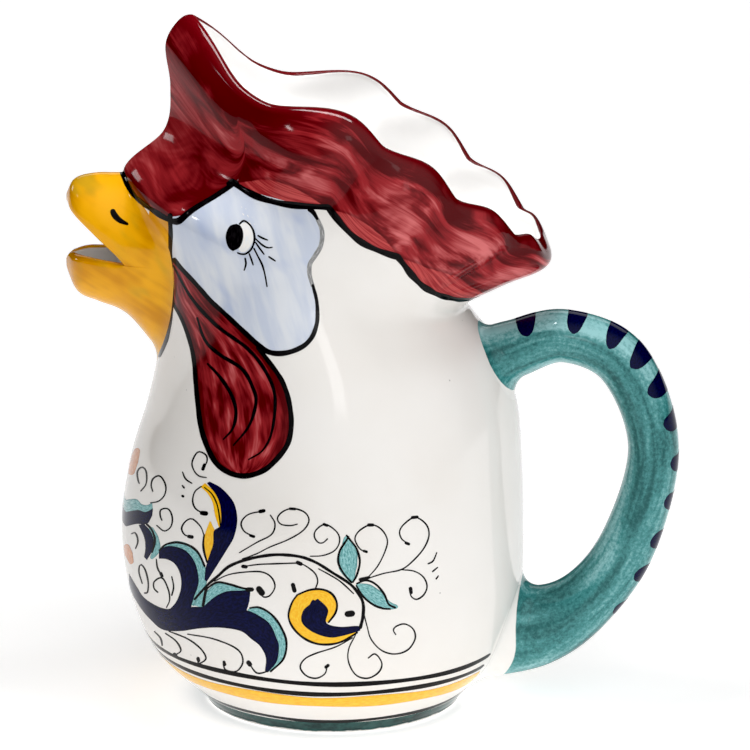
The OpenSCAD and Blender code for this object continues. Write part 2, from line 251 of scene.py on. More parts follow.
class HenForm:
    """The pitcher's surfaces as functions of two parameters, from its driving sizes."""

    def __init__(self, sizes):
        self.sizes = sizes
        self.rings = self.make_rings()
        self.top = len(self.rings) - 1

    def make_rings(self):
        """Rings up the body: front x and z, back x and z, half width, widest share and prow."""
        s = self.sizes
        top = s.foot_d / 2 + s.foot_flare
        foot = np.array([-top, s.foot_h, top, s.foot_h, top, 0.5, 1])
        belly = np.array([-s.breast_reach, s.belly_z, s.back_reach, s.belly_z, s.belly_w / 2, 0.5, 1])
        neck = np.array([-s.neck_front, s.neck_z, s.neck_back, s.neck_z, s.neck_w / 2, 0.5, 1])
        high, slim, low, narrow = THROAT_SHARES
        throat = np.array([-s.throat_front, mix(s.neck_z, s.mouth_z, high),
                           mix(s.neck_back, s.nape_back, slim), mix(s.neck_z, s.nape_z, low),
                           mix(s.neck_w, s.cheek_w, narrow) / 2, 0.5, 1])
        out, high = CHEEK_SHARES
        cheek = np.array([-mix(s.throat_front, s.brow_front, out), mix(s.mouth_z, s.brow_z, high),
                          s.nape_back, s.nape_z, s.cheek_w / 2, 0.51, 1.1])
        out, high, narrow = BROW_SHARES
        brow = np.array([-s.brow_front, s.brow_z, mix(s.nape_back, s.tail_back, out),
                         mix(s.nape_z, s.tail_z, high), mix(s.cheek_w, s.rim_w, narrow) / 2, 0.54, 1.5])
        rim = np.array([-s.peak_front, s.peak_z, s.tail_back, s.tail_z, s.rim_w / 2, 0.55, 2])
        return np.array([foot, *mix(foot, belly, BELLY_SHARES), belly, *mix(belly, neck, NECK_SHARES),
                         neck, throat, cheek, brow, *mix(brow, rim, COMB_SHARES), rim])

    def comb_edge(self, a):
        """The row where the comb begins: flat in front, a late round climb, then scallops between cusps."""
        s = share_at(a, EDGE_SHARE)
        climb = 1 - (1 - clamp01(s / CUSPS[0]) ** EDGE_CLIMB) ** EDGE_ROUND
        front = mix(FRONT_EDGE, EDGE_SHARES[0], climb)
        i, f = self.scallop(s)
        back = mix(EDGE_SHARES[i], EDGE_SHARES[i + 1], f) - SCALLOP * np.sin(np.pi * f)
        return self.top * np.where(s < CUSPS[0], front, back)

    def scallop(self, s):
        """Which scallop of the comb's edge a share lies in, and how far along it."""
        i = np.clip(np.searchsorted(EDGE_CUSPS, s, side="right") - 1, 0, len(EDGE_CUSPS) - 2)
        return i, clamp01((s - EDGE_CUSPS[i]) / (EDGE_CUSPS[i + 1] - EDGE_CUSPS[i]))

    def lobe_wave(self, s, v):
        """0 in a groove and 1 on a lobe: powers of sines between marks that lean back towards the rim."""
        marks = mix(CUSPS, DIPS, np.asarray(v)[..., None])
        i = np.clip((s[..., None] >= marks).sum(-1) - 1, 0, len(CUSPS) - 2)[..., None]
        low = np.take_along_axis(marks, i, -1)[..., 0]
        high = np.take_along_axis(marks, i + 1, -1)[..., 0]
        f = clamp01((s - low) / (high - low))
        ratio = mix(LOBE_ROUND, RIM_ROUND, np.asarray(v))
        lobe = np.abs(np.sin(np.pi * f**LOBE_LEAN)) ** ratio
        front = np.abs(np.cos(np.pi / 2 * np.minimum(s / marks[..., 0], 1))) ** ratio
        return np.where(s < marks[..., 0], front, lobe)

    def rim_lift(self, s):
        """Lift of the rim: a wide bell, less a narrow one behind the peak, plus the lobes' waves."""
        z = self.sizes
        wave = (self.lobe_wave(s, np.ones_like(s)) - DIP_SHARE) * smooth01((s - WAVE_START) / WAVE_FADE)
        return (z.crown_rise * bell(s, *CROWN) - z.saddle_dip * bell(s, *SADDLE)
                + z.lobe_rise * wave * smooth01((1 - s) / TAIL_FADE))

    def comb_rise(self, a, u):
        """Share of the way from the comb's edge to its rim."""
        edge = self.comb_edge(a)
        return clamp01((u - edge) / (self.top - edge))

    def skin(self, a, u, inset=0.0):
        """A ring of ellipse form at row u, tilted along its line from front to back and puffed out by
        the lobes: angle a is 0 at the beak and a quarter turn on the camera's side."""
        a, u = np.broadcast_arrays(np.asarray(a, float), np.asarray(u, float))
        r = row_at(self.rings, u)
        step = row_slope(self.rings, u)
        f, b = unit(step[..., :2]), unit(step[..., 2:4])
        front_x, front_z = r[..., 0] + inset * f[..., 1], r[..., 1] - inset * f[..., 0]
        back_x, back_z = r[..., 2] - inset * b[..., 1], r[..., 3] + inset * b[..., 0]
        half, widest, prow = r[..., 4] - inset, r[..., 5], r[..., 6]
        v, s = self.comb_rise(a, u), share_at(a, widest)
        swell = self.sizes.lobe_puff * (INSIDE_PUFF if inset > 0 else 1) * np.sin(np.pi * v) ** PUFF_ROUND
        puff = 1 + swell * self.lobe_wave(s, v) / half
        t = mix(widest, s, puff)
        sine = np.sin(a)
        side = np.abs(sine) ** np.where(np.cos(a) > 0, prow, 1) * np.sign(sine) * half * puff
        along_x, along_z = back_x - front_x, back_z - front_z
        lift = self.rim_lift(s) * smooth01(v) / np.hypot(along_x, along_z)
        return np.stack([front_x + t * along_x - along_z * lift, -side,
                         front_z + t * along_z + along_x * lift], -1)

    def bill_rows(self, upper):
        """Rows of a bill from root to tip: x, height of its ridge, half width."""
        s = self.sizes
        shares = UPPER_SHARES if upper else LOWER_SHARES
        base, climb = (s.brow_z, s.beak_rise) if upper else (s.neck_z, s.mouth_z - s.neck_z)
        return np.stack([mix(s.beak_root - s.neck_front, -s.beak_reach, shares[:, 0]),
                         base + climb * shares[:, 1], shares[:, 2] * s.beak_w / 2], -1)

    def bill(self, upper, t, u, inset=0.0):
        """An arch over the line of the mouth: half an ellipse at each row, rounded off at the tip."""
        s = self.sizes
        rows = self.bill_rows(upper)
        last = len(rows) - 1
        t, u = np.broadcast_arrays(np.asarray(t, float), np.asarray(u, float))
        x, ridge, half = np.moveaxis(row_at(rows, u), -1, 0)
        way = 1 if upper else -1
        open_share = clamp01((-s.mouth_corner - x) / (s.beak_reach - s.mouth_corner))
        edge = s.mouth_z + (s.lip_rise + (s.gape if upper else 0)) * open_share
        tip = TIP_STARTS[upper]
        close = np.sqrt(clamp01(1 - clamp01((u - tip) / (last - tip)) ** 2))
        middle = mix(edge, ridge, 0.5)
        low, high = mix(middle, edge, close), mix(middle, ridge, close)
        tall = np.maximum(np.abs(high - low) - inset, 0) * way
        wide = np.maximum(half * close - inset, 0)
        return np.stack([x, -wide * np.cos(np.pi * t), low + tall * np.sin(np.pi * t)], -1)

    def grip(self, turn, t):
        """An ellipse square to the grip's path: turn 0 is on the outer side of the bend."""
        s = self.sizes
        g = GRIP_SHARES
        path = np.stack([mix(s.back_reach, s.handle_reach, g[:, 0]),
                         mix(s.handle_low, s.handle_top, g[:, 1]),
                         g[:, 2] * s.grip_t / 2, g[:, 3] * s.grip_w / 2], -1)
        turn, t = np.broadcast_arrays(np.asarray(turn, float), np.asarray(t, float))
        x, z, thick, wide = np.moveaxis(row_at(path, t), -1, 0)
        along = unit(row_slope(path, t)[..., :2])
        out = thick * np.cos(turn)
        return np.stack([x - along[..., 1] * out, -wide * np.sin(turn), z + along[..., 0] * out], -1)


# Steps of central differences, and of the search for where a curve meets the skin
NORMAL_STEP, NUDGE, DAMPING = 1e-3, 1e-4, 1e-9
MEET_ROUNDS, MEET_MOST, ROW_MARGIN = 30, np.array([0.4, 0.2, 0.4]), 0.02


def with_normals(surface, p, q):
    """Points of a surface and their outward normals: the cross product of its two central differences."""
    across = surface(p + NORMAL_STEP, q) - surface(p - NORMAL_STEP, q)
    up = surface(p, q + NORMAL_STEP) - surface(p, q - NORMAL_STEP)
    return surface(p, q), unit(np.cross(across, up))


def skin_slopes(form, a, u):
    """How the skin moves with its angle and with its row: two central differences."""
    by_angle = form.skin(a + NUDGE, u) - form.skin(a - NUDGE, u)
    by_row = form.skin(a, u + NUDGE) - form.skin(a, u - NUDGE)
    return np.stack([by_angle, by_row], -1) / (2 * NUDGE)


def least_move(slopes, way):
    """The move of the parameters that comes nearest to a way: damped least squares."""
    turned = np.swapaxes(slopes, -1, -2)
    square = turned @ slopes + DAMPING * np.eye(slopes.shape[-1])
    return np.linalg.solve(square, turned @ way[..., None])[..., 0]


def meet_skin(form, curve, start):
    """Where curves run into the skin: damped steps on each curve's own parameter and the skin's two,
    until curve(t) and skin(a, u) are one point."""
    t, a, u = (np.array(x, float) for x in start)
    for _ in range(MEET_ROUNDS):
        gap = curve(t) - form.skin(a, u)
        by_curve = (curve(t + NUDGE) - curve(t - NUDGE)) / (2 * NUDGE)
        slopes = np.concatenate([by_curve[..., None], -skin_slopes(form, a, u)], -1)
        move = np.clip(least_move(slopes, gap), -MEET_MOST, MEET_MOST)
        t, a = t - move[..., 0], a - move[..., 1]
        u = np.clip(u - move[..., 2], ROW_MARGIN, form.top - ROW_MARGIN)
    return t, a, u


def slide_on_skin(form, a, u, way):
    """The skin's parameters after a small move along it."""
    move = least_move(skin_slopes(form, a, u), way)
    return a + move[..., 0], u + move[..., 1]


def root_fillet(form, points, seat, spread, radius):
    """Bends the first points of curves that stand on the skin outwards, as a quarter round of each curve's
    radius: points is curves by steps, seat the skin's parameters under each curve, and spread the way
    outwards along the skin."""
    a, u = seat
    radius = np.broadcast_to(radius, len(points))[:, None]
    foot = form.skin(a, u)
    moved = form.skin(*slide_on_skin(form, a, u, spread * radius))
    walk = np.linalg.norm(np.diff(points, axis=1, prepend=points[:, :1]), axis=-1).cumsum(1)
    near = clamp01(1 - walk / radius)[..., None]
    bend = 1 - np.sqrt(1 - near**2)
    return points + bend * (moved - foot)[:, None]


# Meshes

CREASE = math.radians(50)


def grid_quads(rows, columns, wrap_rows=False, wrap_columns=False):
    """Quads of a grid of points, row by row, with its ends joined where asked."""
    i = np.arange(rows if wrap_rows else rows - 1)[:, None]
    j = np.arange(columns if wrap_columns else columns - 1)[None, :]
    i2, j2 = (i + 1) % rows, (j + 1) % columns
    corners = [i * columns + j, i * columns + j2, i2 * columns + j2, i2 * columns + j]
    return np.stack(corners, -1).reshape(-1, 4)


def fan(ring, centre, flip=False):
    """Triangles from a closed ring of points to a centre."""
    after = np.roll(ring, -1)
    tris = np.stack([ring, after, np.full(len(ring), centre)], -1)
    return tris[:, ::-1] if flip else tris


def make_piece(name, points, quads, tris=None, material=None, uv=None, floats=None, normals=None,
               replaces=()):
    """A mesh object at the origin, from whole arrays, that rides on the pitcher's one body."""
    points = np.ascontiguousarray(points, np.float32).reshape(-1, 3)
    tris = np.zeros((0, 3), int) if tris is None else np.asarray(tris)
    corners = np.concatenate([np.asarray(quads).ravel(), tris.ravel()]).astype(np.int32)
    counts = np.concatenate([np.full(len(quads), 4), np.full(len(tris), 3)]).astype(np.int32)
    mesh = bpy.data.meshes.new(name)
    mesh.vertices.add(len(points))
    mesh.vertices.foreach_set("co", points.ravel())
    mesh.loops.add(len(corners))
    mesh.loops.foreach_set("vertex_index", corners)
    mesh.polygons.add(len(counts))
    mesh.polygons.foreach_set("loop_start", np.concatenate([[0], counts.cumsum()[:-1]]).astype(np.int32))
    mesh.update(calc_edges=True)
    mesh.polygons.foreach_set("use_smooth", np.ones(len(counts), bool))
    if uv is not None:
        layer = mesh.uv_layers.new(name="brush")
        layer.data.foreach_set("uv", np.asarray(uv, np.float32).reshape(-1, 2)[corners].ravel())
    for key, values in (floats or {}).items():
        layer = mesh.attributes.new(key, "FLOAT", "POINT")
        layer.data.foreach_set("value", np.asarray(values, np.float32).ravel())
    if normals is None:
        mesh.set_sharp_from_angle(angle=CREASE)
    else:
        mesh.normals_split_custom_set_from_vertices(np.asarray(normals, np.float32).reshape(-1, 3))
    mesh.materials.append(material)
    piece = bpy.data.objects.new(name, mesh)
    bpy.context.scene.collection.objects.link(piece)
    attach(piece, "root")
    if replaces:
        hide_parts(*replaces)
    return piece


# Materials

# The glaze: scales of its ripples, peel and haze, heights in millimetres, roughness
RIPPLES, PEEL, HAZE = 38, 520, 60
RIPPLE_HEIGHT, PEEL_HEIGHT = 0.05, 0.002
SMOOTHEST, HAZE_ROUGHNESS, GLAZE_IOR = 0.045, 0.06, 1.5
WARM_TINT, PIT_SHADE = (0.965, 0.955, 0.94), 0.6
# The comb: its length and height, the slant of its strokes, and the size of strokes and hairs, in metres
COMB_LENGTH, COMB_HEIGHT, COMB_SLANT = 0.15, 0.055, 0.2
STROKE_SIZE, HAIR_SIZE, HAIR_SHARE = (0.022, 0.011), (0.024, 0.0011), 0.16
COMB_TAIL = (-0.03, 0.06)
# Where the comb laps over the beak: the value on its line, and the line's edges before and after it
LAP_MIDDLE, LAP_BEFORE, LAP_AFTER, LAP_SOFT = 10, 3, 2.4, 0.6
# Pigments where they are thin and where they pool, as linear colours
BLACK_THIN, NAVY_THIN, NAVY_POOL = (0.009, 0.008, 0.009), (0.004, 0.006, 0.055), (0.002, 0.002, 0.01)
GREY, GREY_THIN, GREY_POOL = (0.2, 0.2, 0.2), (0.5, 0.5, 0.5), (0.3, 0.3, 0.3)
YELLOW_THIN, PEACH_THIN, PEACH_POOL = (0.95, 0.6, 0.03), (0.75, 0.4, 0.22), (0.5, 0.2, 0.1)
EYE_THIN, EYE_POOL, WASH_THIN = (0.8, 0.82, 0.84), (0.7, 0.7, 0.72), (0.72, 0.75, 0.8)


class Shade:
    """A value in a material: arithmetic on it adds Math nodes."""

    def __init__(self, finish, socket):
        self.finish, self.socket = finish, socket

    def math(self, operation, *values):
        return self.finish.node("ShaderNodeMath", {"operation": operation}, dict(enumerate(values)))

    def __add__(self, other):
        return self.math("ADD", self, other)

    def __sub__(self, other):
        return self.math("SUBTRACT", self, other)

    def __rsub__(self, other):
        return self.math("SUBTRACT", other, self)

    def __mul__(self, other):
        return self.math("MULTIPLY", self, other)

    def __truediv__(self, other):
        return self.math("DIVIDE", self, other)

    def __rtruediv__(self, other):
        return self.math("DIVIDE", other, self)

    __radd__, __rmul__ = __add__, __mul__

    def step(self, low, high):
        """Smooth step of this value between two others."""
        return self.finish.node("ShaderNodeMapRange", {"interpolation_type": "SMOOTHSTEP"},
                                {"Value": self, "From Min": low, "From Max": high})


class Nodes:
    """A tree of shader nodes."""

    def __init__(self, tree):
        self.tree = tree

    def put(self, socket, value):
        """Links a value to a socket, or sets it there."""
        if isinstance(value, Shade):
            self.tree.links.new(value.socket, socket)
        elif hasattr(value, "__len__") and len(value) == 3 and socket.type == "RGBA":
            socket.default_value = (*value, 1)
        else:
            socket.default_value = value

    def node(self, kind, settings=None, inputs=None, output=0):
        """Any node: its settings, which are set first, then the values or links of its sockets."""
        made = self.tree.nodes.new(kind)
        for key, value in (settings or {}).items():
            setattr(made, key, value)
        for key, value in (inputs or {}).items():
            self.put(made.inputs[key], value)
        return Shade(self, made.outputs[output])


class Finish(Nodes):
    """A node material with one Principled shader."""

    def __init__(self, name):
        self.material = bpy.data.materials.new(name)
        self.material.use_nodes = True
        super().__init__(self.material.node_tree)
        self.tree.nodes.clear()
        output = self.tree.nodes.new("ShaderNodeOutputMaterial")
        self.shader = self.tree.nodes.new("ShaderNodeBsdfPrincipled")
        self.tree.links.new(self.shader.outputs[0], output.inputs[0])

    def place(self):
        """The piece's own coordinates, in metres."""
        return self.node("ShaderNodeTexCoord", output="Object")

    def brush(self, along, across):
        """The brush's own coordinates: its length and its width, each times a scale."""
        uv = self.node("ShaderNodeUVMap", {"uv_map": "brush"})
        return self.node("ShaderNodeVectorMath", {"operation": "MULTIPLY"}, {0: uv, 1: (along, across, 1)})

    def value(self, attribute):
        return self.node("ShaderNodeAttribute", {"attribute_name": attribute}, output="Fac")

    def noise(self, vector, scale, detail=2.0, roughness=0.5, distortion=0.0):
        return self.node("ShaderNodeTexNoise", None, {
            "Vector": vector, "Scale": scale, "Detail": detail, "Roughness": roughness,
            "Distortion": distortion})

    def slanted(self, turn, lengths):
        """The piece's coordinates turned about the cross axis, in units of the given lengths."""
        return self.node("ShaderNodeMapping", {"vector_type": "TEXTURE"},
                         {"Vector": self.place(), "Rotation": (0, turn, 0), "Scale": lengths})

    def blend(self, share, a, b):
        """Colour a where share is 0 and b where it is 1."""
        return self.node("ShaderNodeMix", {"data_type": "RGBA"}, {0: share, 6: a, 7: b}, output=2)

    def set(self, **values):
        for key, value in values.items():
            self.put(self.shader.inputs[key.replace("_", " ")], value)
        return self

    def lane(self):
        """How far a point lies across its brush stroke, from -1 to 1."""
        return self.node("ShaderNodeSeparateXYZ", None, {0: self.brush(1, 1)}, output="Y") * 2 - 1

    def glazed(self, colour, shine=0.5):
        """A glossy glaze: slow ripples of the hand-made wall, a fine peel, and haze in its gloss."""
        place = self.place()
        height = self.noise(place, RIPPLES, 1.5) * RIPPLE_HEIGHT + self.noise(place, PEEL, 1) * PEEL_HEIGHT
        bump = self.node("ShaderNodeBump", None, {"Strength": 1.0, "Distance": MM, "Height": height})
        haze = self.noise(place, HAZE, 3)
        self.set(Base_Color=colour, Roughness=haze * HAZE_ROUGHNESS + SMOOTHEST, Normal=bump)
        self.shader.inputs["IOR"].default_value = GLAZE_IOR
        self.shader.inputs["Specular IOR Level"].default_value = shine
        return self.material


def tin_glaze(colours):
    """White tin glaze: faint warm clouds and a few pinholes."""
    f = Finish("tin_glaze")
    clouds = f.noise(f.place(), 24, 3).step(0.35, 0.75)
    warm = [c * k for c, k in zip(colours.glaze, WARM_TINT)]
    pits = f.node("ShaderNodeTexVoronoi", None, {"Vector": f.place(), "Scale": 70}).step(0.012, 0.03)
    grey = [c * PIT_SHADE for c in colours.glaze]
    return f.glazed(f.blend(pits, grey, f.blend(clouds, colours.glaze, warm)))


def foot_glaze(colours):
    """The foot: a teal band on its outer side, thin towards the bottom edge, and white glaze elsewhere; its
    teal is darker than the handle's, as painted shade round the foot.
    """
    f = Finish("foot_glaze")
    load = f.noise(f.place(), 130, 4, 0.65)
    # The foot's darker teals are painted shade
    teal = f.blend(load.step(0.35, 0.7), colours.shaded_foot_dark, colours.shaded_foot_teal)
    painted = f.value("painted") + (load - 0.5) * 0.5
    return f.glazed(f.blend(painted.step(0.4, 0.6), colours.glaze, teal), shine=0.15)


def comb_paint(colours):
    """Brushed red: streaks along the comb, painted shade in the grooves, darker under the rim, pale where
    the brush lifts and towards the tail with a little painted light on each lobe, a bright swag along each
    scallop, and a brighter copy of the white glaze on the inner wall as painted light."""
    f = Finish("comb_paint")
    lobe, rise, swag = f.value("lobe"), f.value("rise"), f.value("swag")
    along = f.value("share") * COMB_LENGTH
    slant = rise * COMB_HEIGHT + along * COMB_SLANT
    way, fine = (f.node("ShaderNodeCombineXYZ", None, {0: along / size[0], 1: slant / size[1]})
                 for size in (STROKE_SIZE, HAIR_SIZE))
    broad = f.noise(way, 1, 3, 0.55, 0.9)
    hairs = f.noise(fine, 1, 3, 0.6, 0.2)
    load = broad * (1 - HAIR_SHARE) + hairs * HAIR_SHARE
    # Painted shade in the grooves between the lobes, and the red darker towards the rim
    dark = (1 - lobe.step(0.0, 0.8)) * 0.09 + rise.step(0.6, 0.92) * 0.16
    tail = f.node("ShaderNodeSeparateXYZ", None, {0: f.place()}, output="X").step(*COMB_TAIL)
    deep = (load - dark + tail * 0.07).step(0.35, 0.58)
    paint = f.blend(deep, colours.red_dark, colours.red)
    # Paler where the brush lifts and towards the tail, with a little painted light on each lobe's crest, and
    # none where the painted shade lies
    lift = (load + lobe * 0.05 + tail * 0.1 - dark * 1.5).step(0.53, 0.76) * 0.75
    paint = f.blend(lift, paint, colours.red_light)
    depth = swag * 0.2 - rise + (broad - 0.5) * 0.05
    bright = f.blend(hairs.step(0.4, 0.62), colours.red, colours.red_bright)
    paint = f.blend(depth.step(-0.035, -0.005) * 0.5, paint, colours.red_dark)
    paint = f.blend(depth.step(0.0, 0.015) * 0.85, paint, bright)
    edge = f.value("inner") + (broad - 0.5) * 0.2
    rim = f.blend(edge.step(0.2, 0.4), paint, colours.red_dark)
    # The inner wall takes the brighter inside glaze: painted light in the comb's hollow
    return f.glazed(f.blend(edge.step(0.85, 0.9), rim, colours.inside_glaze_painted_light), shine=0.14)


def beak_paint(colours):
    """Brushed yellow: warm and greenish clouds, a brighter copy of the white glaze in the hollow as painted
    light, and the comb's red with its black outline where the comb laps over the root."""
    f = Finish("beak_paint")
    clouds = f.noise(f.place(), 55, 2, 0.5)
    green = f.noise(f.slanted(0.8, (0.018, 0.02, 0.009)), 1, 2)
    streaks = f.noise(f.slanted(0.5, (0.02, 0.02, 0.0022)), 1, 2, 0.5)
    load = clouds * 0.75 + streaks * 0.25
    paint = f.blend(load.step(0.34, 0.58), colours.yellow_dark, colours.yellow)
    paint = f.blend(green.step(0.5, 0.72) * 0.7, paint, colours.yellow_green)
    lap = f.value("lap")
    red = f.blend(streaks.step(0.3, 0.7), colours.red_dark, colours.red)
    paint = f.blend(lap.step(LAP_MIDDLE, LAP_MIDDLE + LAP_SOFT), paint, red)
    start, end = LAP_MIDDLE - LAP_BEFORE, LAP_MIDDLE + LAP_AFTER
    line = lap.step(start, start + LAP_SOFT) * (1 - lap.step(end - LAP_SOFT, end))
    paint = f.blend(line, paint, colours.black)
    edge = f.value("inner") + (clouds - 0.5) * 0.2
    # The hollow takes the brighter inside glaze: painted light in the bills
    return f.glazed(f.blend(edge.step(0.8, 0.92), paint, colours.inside_glaze_painted_light), shine=0.25)


def handle_paint(colours):
    """Brushed teal: long streaks down the grip under a fine grain, darker on its inner side as painted
    shade, and white glaze round its roots."""
    f = Finish("handle_paint")
    around, across, down = f.value("around"), f.value("across"), f.value("down")
    way = f.node("ShaderNodeCombineXYZ", None, {0: down * 16, 1: around * 1.6, 2: across * 1.6})
    slow = f.noise(way, 1, 3, 0.55, 0.3)
    grain = f.noise(f.place(), 760, 3, 0.75)
    # The around term darkens the grip's inner side: painted shade
    load = slow * 0.7 + grain * 0.3 + around * 0.03 + 0.02
    paint = f.blend(load.step(0.37, 0.53), colours.teal_dark, colours.teal)
    paint = f.blend(load.step(0.49, 0.65) * 0.85, paint, colours.teal_light)
    bare = f.value("bare") + (slow - 0.5) * 0.15
    return f.glazed(f.blend(bare.step(0.47, 0.53), paint, colours.glaze), shine=0.3)


def pigment(name, body, thin, pool, along=5, across=2.5, cover=(0.3, 0.6), rim=0.5, shine=0.3):
    """Brushed pigment: thin where the brush runs dry along its way, pooled along both edges."""
    f = Finish(name)
    load = f.noise(f.brush(along, across), 3, 3, 0.6)
    lane = f.lane()
    edge = lane.math("ABSOLUTE", lane)
    paint = f.blend(load.step(*cover), thin, body)
    return f.glazed(f.blend(edge.step(0.72, 1) * rim, paint, pool), shine=shine)


def line_black(c):
    return pigment("line_black", c.black, BLACK_THIN, c.black, shine=0.1)


def line_pale(c):
    return pigment("line_pale", GREY, GREY_THIN, GREY_POOL)


def scroll_navy(c):
    return pigment("scroll_navy", c.navy, NAVY_THIN, NAVY_POOL, 8, 3, cover=(0.3, 0.65), rim=0.6, shine=0.1)


def scroll_teal(c):
    return pigment("scroll_teal", c.teal, c.teal_light, c.teal_dark, 10, 4, cover=(0.3, 0.7), rim=0.6)


def scroll_yellow(c):
    return pigment("scroll_yellow", c.yellow, YELLOW_THIN, c.yellow_dark, 8, 3, cover=(0.3, 0.7), rim=0.4)


def scroll_peach(c):
    return pigment("scroll_peach", c.peach, PEACH_THIN, PEACH_POOL, 8, 3)


def eye_white(c):
    return pigment("eye_white", c.glaze, EYE_THIN, EYE_POOL)


def wattle_red(c):
    """Red brushed along the wattle: long streaks, dark along both edges and paler in the folds."""
    f = Finish("wattle_red")
    hairs = f.noise(f.brush(1.6, 15), 2.2, 3, 0.6)
    broad = f.noise(f.brush(1.4, 4.5), 2, 2, 0.5, 0.3)
    lane = f.lane()
    load = hairs * 0.22 + broad * 0.78 - (lane * lane).step(0.35, 1) * 0.14
    paint = f.blend(load.step(0.36, 0.6), c.red_dark, c.red)
    paint = f.blend(load.step(0.53, 0.73) * 0.6, paint, c.red_light)
    return f.glazed(paint, shine=0.2)


def face_wash(c):
    """A pale blue wash: soft upright brush marks, bluer in places."""
    f = Finish("face_wash")
    marks = f.noise(f.slanted(1.25, (0.035, 0.03, 0.006)), 1, 3, 0.55)
    blue = f.noise(f.slanted(0.9, (0.02, 0.03, 0.008)), 1, 2)
    paint = f.blend(marks.step(0.4, 0.7), c.wash, WASH_THIN)
    return f.glazed(f.blend(blue.step(0.52, 0.75) * 0.55, paint, c.wash_blue))


# The photograph's view

PHOTO_SIZE, CELL = 750, 4
# The search for what lies behind a pixel: its table, its rounds and its longest steps
TABLE_SIDE, TABLE_SPREAD, FIND_ROUNDS = 400, 12, 12
MOST_P, MOST_Q, LOST, TINY = 0.05, 0.2, 1.5, 1e-6


def photo_axes(studio):
    """Forward, right and up of the photograph's camera, and its place."""
    e, z = studio.elevation, studio.azimuth
    fwd = np.array([-math.sin(z) * math.cos(e), math.cos(z) * math.cos(e), -math.sin(e)])
    right = np.array([math.cos(z), math.sin(z), 0])
    return fwd, right, np.cross(right, fwd), np.array(studio.target) - fwd * studio.distance


def to_photo(points, studio):
    """Pixels of the photograph at which points lie: offsets over depth, times the focal length."""
    fwd, right, up, eye = photo_axes(studio)
    d = points - eye
    depth = d @ fwd / (studio.scale * studio.distance)
    return np.stack([PHOTO_SIZE / 2 + d @ right / depth, PHOTO_SIZE / 2 - d @ up / depth], -1)


def area(a, b):
    """The area between vectors of the plane: the cross product's one part."""
    return a[..., 0] * b[..., 1] - a[..., 1] * b[..., 0]


class Canvas:
    """A surface that is painted in pixels of the photograph: a table of its near side gives a first
    guess of its two parameters, and Newton steps then bring its view onto the pixel."""

    def __init__(self, surface, p_span, q_span, studio):
        self.surface, self.studio = surface, studio
        p, q = np.meshgrid(*(np.linspace(*span, TABLE_SIDE) for span in (p_span, q_span)), indexing="ij")
        points, normals = with_normals(surface, p, q)
        near = ((photo_axes(studio)[3] - points) * normals).sum(-1) > 0
        cells = PHOTO_SIZE // CELL + 1
        i, j = np.clip(to_photo(points, studio)[near] / CELL, 0, cells - 1).astype(int).T
        table = np.full((cells, cells, 2), np.nan)
        table[i, j] = np.stack([p, q], -1)[near]
        for _ in range(TABLE_SPREAD):
            for axis, way in ((0, 1), (0, -1), (1, 1), (1, -1)):
                table = np.where(np.isnan(table), np.roll(table, way, axis), table)
        self.table = table

    def seen(self, p, q):
        """Pixels at which points of the surface are seen."""
        return to_photo(self.surface(p, q), self.studio)

    def find(self, pixels):
        """The surface's parameters behind pixels."""
        i, j = np.moveaxis(np.clip(pixels / CELL, 0, len(self.table) - 1).astype(int), -1, 0)
        start = self.table[i, j]
        p, q = start[..., 0], start[..., 1]
        for _ in range(FIND_ROUNDS):
            miss = self.seen(p, q) - pixels
            by_p = (self.seen(p + NUDGE, q) - self.seen(p - NUDGE, q)) / (2 * NUDGE)
            by_q = (self.seen(p, q + NUDGE) - self.seen(p, q - NUDGE)) / (2 * NUDGE)
            size = area(by_p, by_q)
            size = np.where(np.abs(size) < TINY, TINY, size)
            p = p - np.clip(area(miss, by_q) / size, -MOST_P, MOST_P)
            q = q - np.clip(area(by_p, miss) / size, -MOST_Q, MOST_Q)
        lost = np.linalg.norm(self.seen(p, q) - pixels, axis=-1) > LOST
        return np.where(lost, start[..., 0], p), np.where(lost, start[..., 1], q)


# Brush work

# Paths and strokes, in pixels: spacing, closeness at the ends, the hand's sway, and the width of a tip
PATH_STEP, PATH_DENSITY, PATH_LEAST, END_CLOSE = 1.6, 40, 9, 0.6
SWAY, SWAY_PACE, FIRM_WIDTH, TIP_SHARE = 0.08, 0.31, 3, 0.12
# Grids of washes, and lanes across strokes that have more or fewer than five
SCROLL_GRID, SMALL_GRID, WATTLE_STEPS = (90, 15), (40, 15), 80
BROAD_LANES, EYE_LANES, BLOB_LANES, PEN_LANES, LASH_LANES = 13, 9, 7, 4, 3
# Brush lengths to one unit of the brush's coordinates: pixels in the photograph, and metres of a ribbon
BRUSH_PIXELS, BRUSH_METRES = 100, 1 / 30
# Films: how deep they reach into the glaze, and the steps in which marks run on to the front
FILM_ROOT, FRONT_STEPS = 0.15 * MM, 6
# How high films stand over the glaze, so that later paint covers earlier paint
WASH_FILM, TEAL_FILM, COLOUR_FILM, LINE_FILM, NAVY_FILM = (h * MM for h in (0.03, 0.04, 0.05, 0.06, 0.065))
PEN_FILM, BLOB_FILM, COMB_FILM, BEAK_FILM, CUSP_FILM = (h * MM for h in (0.08, 0.085, 0.1, 0.12, 0.14))


def smooth_path(points, count=None):
    """Evenly walked points of a smooth curve through the given ones, closer at its ends."""
    marks = np.asarray(points, float).reshape(-1, 2)
    last = len(marks) - 1
    dense = row_at(marks, np.linspace(0, last, PATH_DENSITY * last + 1))
    walk = np.concatenate([[0], np.linalg.norm(np.diff(dense, axis=0), axis=1).cumsum()])
    k = np.linspace(0, 1, count or max(PATH_LEAST, int(walk[-1] / PATH_STEP) + 2))
    s = (k - END_CLOSE * np.sin(2 * np.pi * k) / (2 * np.pi)) * walk[-1]
    return np.stack([np.interp(s, walk, dense[:, 0]), np.interp(s, walk, dense[:, 1])], -1), s


